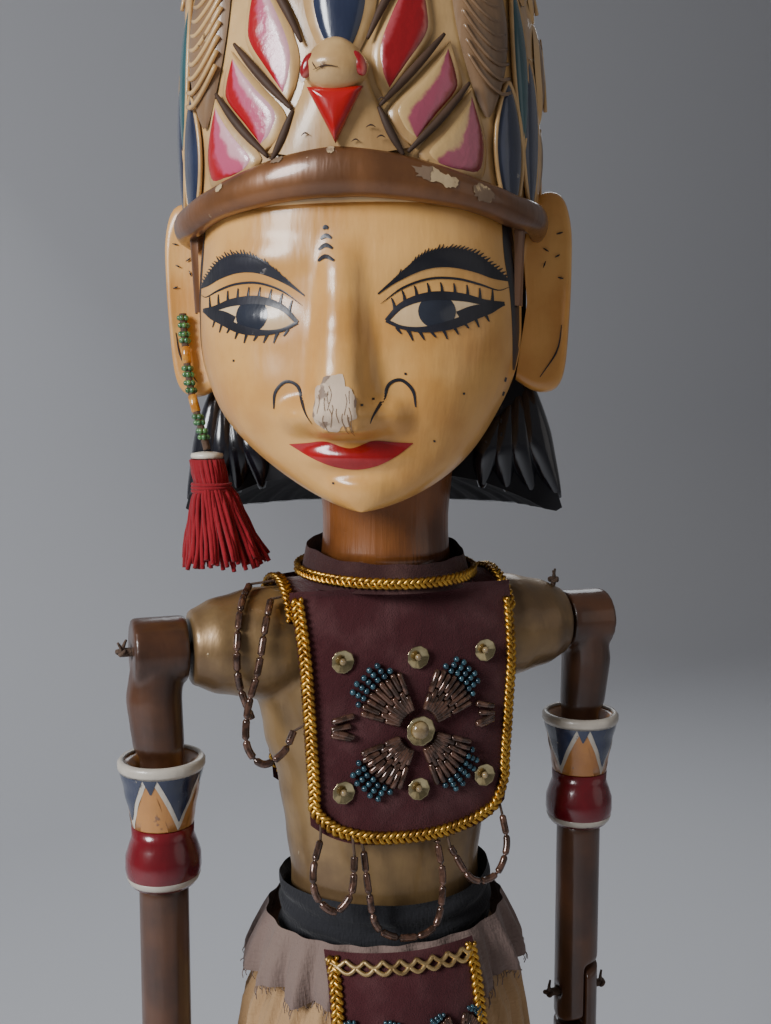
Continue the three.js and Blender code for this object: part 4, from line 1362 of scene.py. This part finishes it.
def cup_sequin(build, centre, radius):
    """A faceted metal cup, worn with its hollow outwards."""
    cx, cy, cz = centre
    profile = [
        (0.0, 0.3), (0.25, 0.35), (0.55, 0.62), (0.92, 1.0), (1.0, 1.05), (0.96, 0.85), (0.6, 0.4),
        (0.3, 0.12),
        (0.0, 0.1),
    ]

    def point(u, v):
        r, out = profile[round(v * 8)]
        a = tau * u
        wide = radius * max(r, 0.02) * (1 + 0.025 * cos(9 * a))
        return (cx + wide * cos(a), cy - out, cz + wide * sin(a))

    build.grid(54, 8, point, close_u=True)


def make_bead_work():
    bronze, blue = Build(), Build()
    bead_flower(bronze, blue, bib_at, (0, 424), 1.0)
    for side in (-1, 1):
        for dz in (1.9, -1.9):
            bugle(
                bronze, bib_at(side * 22.2, 425.9 + 0.6 * dz, 1.0),
                bib_at(side * 16.6, 425.9 + 1.5 * dz, 1.0), 0.85
            )
            bugle(
                bronze, bib_at(side * 22.4, 424.4 + 0.4 * dz, 1.0),
                bib_at(side * 17.4, 424.4 + 0.9 * dz, 1.0), 0.75
            )
    threads = Build()
    for start, end in STRAND_TIES:
        middle = Vector(start).lerp(Vector(end), 0.5) + Vector((0, -0.2, 0))
        threads.tube(curve_points([start, middle, end], 8), 0.35, 6)
    threads.make("strand_threads", "string", "torso", "tie_string")
    bronze.make("bugle_flower", "bronze_bead", "torso", "bronze_beads", "bead_flower")
    blue.make("seed_bead_tips", "blue_bead", "torso", "bronze_beads")
    for row, z in (("upper", 442.5), ("lower", 408.6)):
        for word, x in (("right", -19.4), ("middle", 0), ("left", 19.4)):
            sequin, pearl = Build(), Build()
            centre = bib_at(x, z, 0.4)
            cup_sequin(sequin, centre, 2.9)
            pearl.ball(centre + Vector((0, -1.1, 0)), 0.9, 7, 10)
            sequin.make(f"cup_{row}_{word}", "sequin", "torso", "sequin", f"sequin_{row}_{word}")
            pearl.make(f"cup_bead_{row}_{word}", "pearl", "torso", "sequin")
    centre, setting, gem = bib_at(0, 424, 1.2), Build(), Build()
    cup_sequin(setting, centre + Vector((0, -0.3, 0)), 3.8)
    gem.ball(centre + Vector((0, -1.1, 0)), (2.3, 1.3, 2.3), 9, 16)
    setting.make("flower_setting", "sequin", "torso", "sequin", "flower_centre")
    gem.make("flower_gem", "pearl", "torso", "sequin")


# ---------- free strings ----------
STRANDS = {
    "bead_loop_outer": [
        (-34.5, -10.6, 457.2), (-37.2, -15.4, 451.4), (-39.6, -17.4, 441), (-42.4, -17.6, 431),
        (-42.8, -18.6, 422.5), (-39.2, -20, 418), (-34, -19.8, 420.4), (-31, -18.4, 425),
    ],
    "bead_loop_inner": [
        (-38.2, -3, 460), (-42, -9.9, 455.8), (-44.2, -14.6, 446), (-43.6, -14, 437), (-40.6, -14, 428)
    ],
    "bead_swag_right": [
        (-25.2, -21.6, 397.4), (-28, -24.8, 391), (-27.4, -26, 384.8), (-23.2, -27.2, 381),
        (-19, -27.4, 385.2),
        (-17.4, -25.2, 393.4),
    ],
    "bead_swag_middle": [
        (-14.4, -23.4, 393.8), (-14, -26.4, 384), (-12, -27.6, 375), (-4.6, -28.2, 371.4), (3.4, -28, 373.4),
        (6, -26.6, 384), (5.6, -23.6, 393.8),
    ],
    "bead_swag_left": [
        (25.2, -21.6, 397.4), (25, -24.8, 390), (21, -26.6, 383.6), (14, -27.2, 383.6), (8.8, -25, 392)
    ],
}
# where bare thread joins the ends of the bead strings to the cloth
STRAND_TIES = [
    [(-34.5, -10.6, 457.2), (-30.6, -9.5, 457.6)], [(-31, -18.4, 425), (-27.6, -19.9, 427.4)],
    [(-38.2, -3, 460), (-30.8, -2.4, 460.6)], [(-40.6, -14, 428), (-42.3, -16.6, 430.8)],
    [(-25.2, -21.6, 397.4), (-24.4, -19.4, 403)], [(-17.4, -25.2, 393.4), (-17, -21.6, 399.4)],
    [(-14.4, -23.4, 393.8), (-15.2, -21.6, 399.4)], [(5.6, -23.6, 393.8), (6, -22, 399.4)],
    [(8.8, -25, 392), (7.6, -22, 398.6)], [(25.2, -21.6, 397.4), (24.4, -19.4, 403)],
]
EAR_STRING = [
    (-49.5, 24.4, 530.4), (-48.8, 23.1, 517), (-47.7, 20.8, 507), (-46, 18.4, 499.5), (-44.8, 17.4, 493.8)
]
STRAND_RADIUS = 0.95
TASSEL_TOP, TASSEL_BOTTOM = 491.2, 462.4
YARNS, GOLDEN_ANGLE = 230, 2.39996


def make_strands():
    for name, route in STRANDS.items():
        steps = round(length_of(curve_points(route, 60)) / 0.35)
        path = curve_points(route, steps)
        long = length_of(path)
        bead, gap = 5.2, 0.5

        def radius(t):
            place = (t * long) % bead
            edge = min(place, bead - place)
            return STRAND_RADIUS * (0.42 if edge < gap / 2 else 0.82 if edge < gap else 1.0)

        string = Build()
        string.tube(path, radius, 8)
        piece = string.make(name + "_string", "bronze_bead", "torso", "bronze_beads", name)


def make_tassel():
    path = curve_points(EAR_STRING, 130)
    long = length_of(path)
    thread, green, amber, cap, yarn = Build(), Build(), Build(), Build(), Build()
    thread.tube(path, 1.0, 8)

    def at(distance):
        last = len(path) - 1
        return path[min(last, round(distance / long * last))]

    place, k = 0.4, 0
    while place < long - 3:
        if k % 3 == 2:
            bugle(amber, at(place), at(place + 5), 1.25)
            place += 5.4
        else:
            for _ in range(2):
                centre = at(place + 0.9)
                for j in range(5):
                    a = tau * j / 5 + place
                    green.ball(centre + Vector((cos(a), sin(a), 0)) * 1.0, 0.78, 5, 8)
                place += 1.8
            place += 0.5
        k += 1
    x, y = path[-1].x, path[-1].y
    cap.lathe(
        [(1.0, 491.7), (4.2, 491.5), (4.4, 492.2), (4.2, 492.9), (2.0, 493.3), (1.0, 493.1), (1.0, 491.7)],
        32, (x, y)
    )
    lean = Vector((3.9, -4.1, 0))
    for k in range(YARNS):
        ring = sqrt((k + 0.5) / YARNS)
        a = k * GOLDEN_ANGLE
        drop = TASSEL_BOTTOM + random.uniform(0, 3.2) + 1.5 * (1 - ring)
        sway, twist = random.uniform(-0.9, 0.9), random.uniform(-0.25, 0.25)
        points = []
        for i in range(9):
            t = i / 8
            z = TASSEL_TOP + (drop - TASSEL_TOP) * t
            waist = 1.1 * exp(-((t - 0.24) / 0.08) ** 2)
            spread = ring * (4.2 + 7.4 * t ** 1.5 - waist) * (1 + 0.05 * sin(9 * t + k))
            turn = a + twist * t
            centre = Vector((x, y, 0)) + lean * t
            points.append(centre + Vector((spread * cos(turn) + 0.4 * sway * t, spread * sin(turn), z)))
        yarn.tube(points, 0.62, 5)
    for j in range(3):
        centre = Vector((x, y, 484.6 - 0.9 * j)) + lean * 0.23
        turns = [tau * i / 24 for i in range(24)]
        yarn.tube([centre + Vector((5.1 * cos(a), 5.1 * sin(a), 0)) for a in turns], 0.5, 6, closed=True)
    pieces = [
        green.make("ear_seed_beads", "green_bead", "head_and_rod", "green_beads"),
        amber.make("ear_bugle_beads", "amber_bead", "head_and_rod", "green_beads"),
        cap.make("tassel_disc", "bone", "head_and_rod", "bone_disc", "tassel_cap"),
        yarn.make("tassel_yarn", "yarn", "head_and_rod", "red_yarn", "tassel"),
    ]
    piece = thread.make("ear_thread", "string", "head_and_rod", "tie_string", "ear_bead_string")


# ---------- belt, frill, skirt and apron ----------
BELT_TOP, BELT_TALL, FRILL_TOP, FRILL_DROP = 378.2, 14.6, 369.5, 15
SKIRT_TOP, SKIRT_DROP, APRON_TOP, APRON_DROP = 365.5, 270.3, 369, 121
SKIRT_ROWS = [
    (364.2, 29.6, 24.6), (356, 34.5, 29), (345, 40, 34), (320, 44.5, 37.5), (260, 47.5, 40.5), (95, 51, 45.5)
]
FRILL_ROWS = [(372.5, 31.6, 26.6), (367, 34.4, 29.4), (361.5, 36.6, 31.6), (357, 38, 33)]
APRON_ROWS = [
    (370, 33.4, 28.6), (361.5, 37.8, 32.8), (356, 39.4, 34.4), (340, 43.8, 37.4), (300, 47, 40),
    (245, 49, 42.3),
]


def straight_rows(rows, z):
    """Half width and half depth at a height, straight between rows."""
    for (high, a, b), (low, c, d) in zip(rows, rows[1:]):
        if z >= low:
            t = min(1, max(0, (high - z) / (high - low)))
            return a + (c - a) * t, b + (d - b) * t
    return rows[-1][1], rows[-1][2]


def make_belt():

    def point(u, v):
        a = tau * u
        crumple = 0.5 * wander(4 * cos(a), 4 * sin(a), 6 * v)
        fold = 0.5 * sin(tau * (2.5 * v + 0.4 * sin(a))) + crumple
        return (
            (29.5 + fold) * cos(a), (23.9 + fold) * sin(a), BELT_TOP - BELT_TALL * v + 0.8 * sin(2 * a + 1)
        )

    cloth("belt_wrap", "belt", "torso", 120, 26, point, ["belt"], "black_cloth")


def make_frill():

    def point(u, v):
        a = tau * u
        z = FRILL_TOP - FRILL_DROP * v
        half_x, half_y = straight_rows(FRILL_ROWS, z)
        wave = (0.4 + 1.7 * v) * sin(21 * a + 1.5 * sin(3 * a)) + 0.8 * v * sin(47 * a)
        z += 1.1 * v * sin(13 * a) + 0.7 * wander(9 * cos(a), 9 * sin(a), 1) * v
        return ((half_x + wave) * cos(a), (half_y + wave) * sin(a), z)

    threads = Build()
    count = 260
    for k in range(count):
        start = Vector(point(k / count, 1))
        out = Vector((start.x, start.y, 0)).normalized()
        reach = random.uniform(0.8, 3.4)
        stray = Vector((random.uniform(-0.8, 0.8), random.uniform(-0.8, 0.8), -reach))
        tip = start + stray + out * random.uniform(-0.3, 0.6)
        threads.tube([start, start.lerp(tip, 0.5) + out * 0.3, tip], 0.13, 4)
    fringe = threads.make("frill_threads", "frill", "torso", "mauve_cloth")
    cloth(
        "frill_cloth", "frill", "torso", 300, 14, point, ["waist_frill"], "mauve_cloth",
    )


def make_skirt():

    def point(u, v):
        a = tau * u
        z = SKIRT_TOP - SKIRT_DROP * v
        half_x, half_y = straight_rows(SKIRT_ROWS, z)
        depth = min(1, 0.25 + 6 * v)
        drift = 0.6 * wander(2 * cos(a), 2 * sin(a), 4 * v)
        pleat = sin(24 * a + 2.2 * sin(2 * a) + drift)
        fold = depth * (1.15 * pleat + 0.55 * sin(53 * a + 2 * drift) + 0.7 * drift) - 1.5 * depth
        crease = 0.25 * wander(12 * cos(a), 12 * sin(a), 30 * v)
        return ((half_x + fold + crease) * cos(a), (half_y + fold + crease) * sin(a), z)

    cloth("skirt_cloth", "skirt", "torso", 480, 130, point, ["skirt"], "ochre_cloth")
    hem = Build()
    rim = [Vector(point(i / 480, 0.995)) for i in range(480)]
    hem.tube([p + Vector((p.x, p.y, 0)).normalized() * 0.3 for p in rim], 0.5, 6, closed=True)
    hem.make("skirt_hem", "skirt", "torso", "ochre_cloth")


def apron_at(x, z, lift):
    """The point on the front of the apron at x and z."""
    half_x, half_y = straight_rows(APRON_ROWS, min(z, 369.9))
    half_x, half_y = half_x + 1.5 + lift, half_y + 1.5 + lift
    return Vector((x, -half_y * sqrt(max(0, 1 - (x / half_x) ** 2)), z))


def apron_edges(z):
    """Where the apron's two sides are at a height."""
    narrow = 3.4 * (z - (APRON_TOP - APRON_DROP)) / APRON_DROP
    return -28 + narrow, 17 - narrow


def make_apron():

    def point(u, v):
        z = APRON_TOP - APRON_DROP * v
        left, right = apron_edges(z)
        sag = 0.3 * wander(3 * u, 8 * v, 5)
        return apron_at(left + (right - left) * u, z - 1.5 * sin(pi * u) * v, sag)

    edging, scallop, bronze, blue = Build(), Build(), Build(), Build()
    for side in (0, 1):
        path = []
        for i in range(240):
            z = 368 - 119 * i / 239
            x = apron_edges(z)[side] + (1.4 if side == 0 else -1.4)
            path.append(apron_at(x, z, 0.8))
        braid(edging, path, [(p.x * 0.4, p.y, 0) for p in path], *WIDE_BRAID)
    path = []
    for i in range(110):
        left, right = apron_edges(249)
        x = left + (right - left) * i / 109
        path.append(apron_at(x, 249.6 - 1.5 * sin(pi * i / 109), 0.8))
    braid(edging, path, [(p.x * 0.4, p.y, 0) for p in path], *WIDE_BRAID)
    for row in range(2):
        path = []
        for i in range(160):
            left, right = apron_edges(367)
            t = i / 159
            drop = 1.3 * abs(sin(pi * 9 * t + row * pi / 2))
            path.append(apron_at(left + (right - left) * t, 367.6 - drop - 1.4 * row, 0.9))
        scallop.tube(path, 0.6, 6)
    for z in (347, 312, 277):
        for x in (-16.5, 5.5):
            bead_flower(bronze, blue, apron_at, (x, z), 0.46)
    pieces = [
        edging.make("apron_braid", "braid", "torso", "gold_braid"),
        scallop.make("apron_scallops", "pale_braid", "torso", "gold_braid"),
        bronze.make("apron_bugles", "bronze_bead", "torso", "bronze_beads"),
        blue.make("apron_seed_beads", "blue_bead", "torso", "bronze_beads"),
    ]
    cloth(
        "apron_cloth", "velvet", "torso", 40, 90, point, ["apron"], "maroon_velvet"
    )


# ---------- arms, ties, rods and stand ----------
ARM_X, HAND_ROD_X, HAND_TIE_Z, ELBOW_Z = 61, 68.6, 236, 331


def smooth_node(name, material, rounds):
    """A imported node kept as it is, with its edges melted and its own paint."""
    node = bpy.data.objects[name]
    remeshed(node, 0.55, rounds)
    for slot in node.material_slots:
        slot.material = MAT[material]


def make_arms():
    for word, side in SIDES:
        smooth_node(f"upper_arm_{word}", "arm", 24)
        smooth_node(f"forearm_{word}", "arm", 9)
        x = side * ARM_X
        cup, rim, navy, pale, wedge, ring, worn = (Build() for _ in range(7))
        profile = [
            (6.2, 399.0), (7.9, 399.0), (8.3, 402), (9.4, 408.4), (10.4, 413.6), (10.7, 415), (10.2, 416.2),
            (8.2, 415), (6.2, 411), (6.2, 399.0)
        ]
        cup.lathe(profile, 48, (x, 0))
        rim.lathe(
            [
                (9.7, 415.2), (10.6, 413.3), (11.1, 414.2), (11.1, 415.6), (10.4, 416.5), (9.3, 416.2),
                (9.7, 415.2)
            ],
            48, (x, 0)
        )

        def cup_radius(z):
            return table([(415, 10.7), (413.6, 10.4), (408.4, 9.4), (402, 8.3), (399, 7.9)], z)

        def triangle(build, middle, half, top, low, lift, point_down=True):

            def point(u, v):
                z = top + (low - top) * v
                w = half * ((1 - v) if point_down else v) + 0.02
                a = middle + w * (2 * u - 1)
                r = cup_radius(z) + lift
                return (x + r * cos(a), r * sin(a), z)

            build.grid(12, 12, point)

        for k in range(4):
            a = -pi / 2 + k * pi / 2 + 0.35
            triangle(pale, a, 0.80, 414.6, 399.2, 0.10)
            triangle(navy, a, 0.62, 414.0, 401.6, 0.22)
            triangle(wedge, a + pi / 4, 0.44, 412.5, 399.2, 0.06, False)
            triangle(navy, a + pi / 4, 0.2, 414.4, 409.5, 0.2)
        ring.lathe(
            [
                (6.2, 383.3), (8.2, 383.3), (9.2, 385), (9.7, 387.5), (9.6, 391), (8.6, 394), (7.9, 396),
                (8.0, 398.7), (6.2, 398.7), (6.2, 383.3)
            ],
            48, (x, 0)
        )
        # worn is a pale band round the red ring's lower edge: a painted highlight, in the white rim paint
        worn.lathe(
            [
                (8.3, 383.6), (9.0, 384.3), (9.45, 385.6), (9.3, 385.9), (8.7, 384.7), (8.1, 384.0),
                (8.3, 383.6)
            ],
            48, (x, 0)
        )
        body = f"upper_arm_{word}"
        cup.make(f"cup_{word}", "orange", body, "armband_paint", f"armband_{word}")
        rim.make(f"cup_rim_{word}", "rim", body, "armband_paint")
        navy.make(f"cup_navy_{word}", "navy", body, "armband_paint")
        pale.make(f"cup_pale_{word}", "rim", body, "armband_paint")
        wedge.make(f"cup_wedges_{word}", "orange", body, "armband_paint")
        ring.make(f"ring_{word}", "ring", body, "ring_paint", f"arm_ring_{word}")
        worn.make(f"ring_highlight_{word}", "rim", body, "ring_paint")


def knot(build, centre, size):
    """A small overhand knot with two frayed tails."""
    centre, loop = Vector(centre), []
    for i in range(40):
        a = tau * i / 40
        trefoil = Vector((sin(a) + 2 * sin(2 * a), cos(a) - 2 * cos(2 * a), -sin(3 * a)))
        loop.append(centre + trefoil * size * 0.33)
    build.tube(loop, size * 0.42, 7, closed=True)
    for lean in (-1, 1):
        middle, end = Vector((0.4 * lean, 0.8 * lean, size)), Vector((1.2 * lean, 1.6 * lean, 2.1 * size))
        build.tube(
            curve_points([centre, centre + middle, centre + end], 8), lambda t: 0.62 * (1 - 0.5 * t), 6
        )


def make_ties():
    for word, side in SIDES:
        for name, body, z, xs in (
            ("shoulder_cord", f"upper_arm_{word}", SHOULDER_Z, (70.2,)),
            ("elbow_cord", f"forearm_{word}", ELBOW_Z, (52.1, 69.7)),
            ("hand_tie", f"forearm_{word}", HAND_TIE_Z, (54.4, 73.8)),
        ):
            tie = Build()
            ends = (48.5, 70.2) if len(xs) == 1 else xs
            path = [(side * (ends[0] + (ends[1] - ends[0]) * i / 12), 0, z) for i in range(13)]
            tie.tube(path, 1.15, 10)
            for x in xs:
                knot(tie, (side * x, 0, z), 1.35)
            tie.make(f"{name}_string_{word}", "string", body, "tie_string", f"{name}_{word}")
        rod = Build()
        rod.lathe(
            [
                (0, 17), (1.4, 17), (1.9, 24), (2, 31), (2, 120), (2.05, 200), (2, 232), (2.9, 234.4),
                (3, 236), (2.8, 237.8), (1.6, 238.8), (0, 239)
            ],
            20, (side * HAND_ROD_X, 0)
        )
        rod.make(f"hand_rod_{word}_horn", "rod_wood", f"hand_rod_{word}", "rod_wood", f"hand_rod_{word}")
    shoulder = Build()
    knot(shoulder, (50.5, -2, 456.3), 1.3)
    shoulder.tube(curve_points([(50.5, -2, 456.3), (50, -2, 454), (49, -2.2, 450.8)], 10), 0.75, 8)
    shoulder.make("shoulder_knot", "string", "torso", "tie_string", "shoulder_knot_left")


def make_stand():
    base = Build()
    base.lathe(
        [
            (0, 0), (59, 0), (60, 1), (60, 8), (59.2, 9.3), (57, 10.2), (56.2, 11), (55.5, 12.6), (53, 13.4),
            (48, 14.4),
            (46, 15.2), (45, 17), (43.5, 20.5), (40, 22.2), (33, 24), (26, 26), (23, 28.5), (20.5, 32),
            (19.6, 33.6),
            (18.6, 34), (6.4, 34), (6.4, 30), (0, 30),
        ],
        96,
    )
    base.make("turned_base", "dark_wood", "stand", "dark_wood", "stand_base")
    rod = Build()
    rod.lathe(
        [
            (0, 10.4), (5.9, 10.4), (5.9, 34.4), (10.6, 34.4), (11, 35.4), (11.2, 40), (11.9, 50), (12, 60),
            (11.4, 74), (10, 94),
            (9, 108), (8.8, 114), (9.5, 116), (9.6, 119), (8.7, 121), (8.4, 140), (8.6, 200), (9.2, 300),
            (9.5, 351.2),
            (6, 351.6), (6, 470), (6, 507), (0, 507.8),
        ],
        56,
    )
    rod.make("turned_rod", "dark_wood", "head_and_rod", "dark_wood", "central_rod")


make_camera()
make_strands()
make_tassel()
make_studio()
make_face()
make_eyes()
make_mouth()
make_ears()
make_hair()
make_neck()
make_crown_dome()
make_crown_leaves()
make_crown_wings()
make_crown_top()
make_crown_band()
make_bird()
make_torso()
make_bibs()
make_collar()
make_bead_work()
make_belt()
make_frill()
make_skirt()
make_apron()
make_arms()
make_ties()
make_stand()
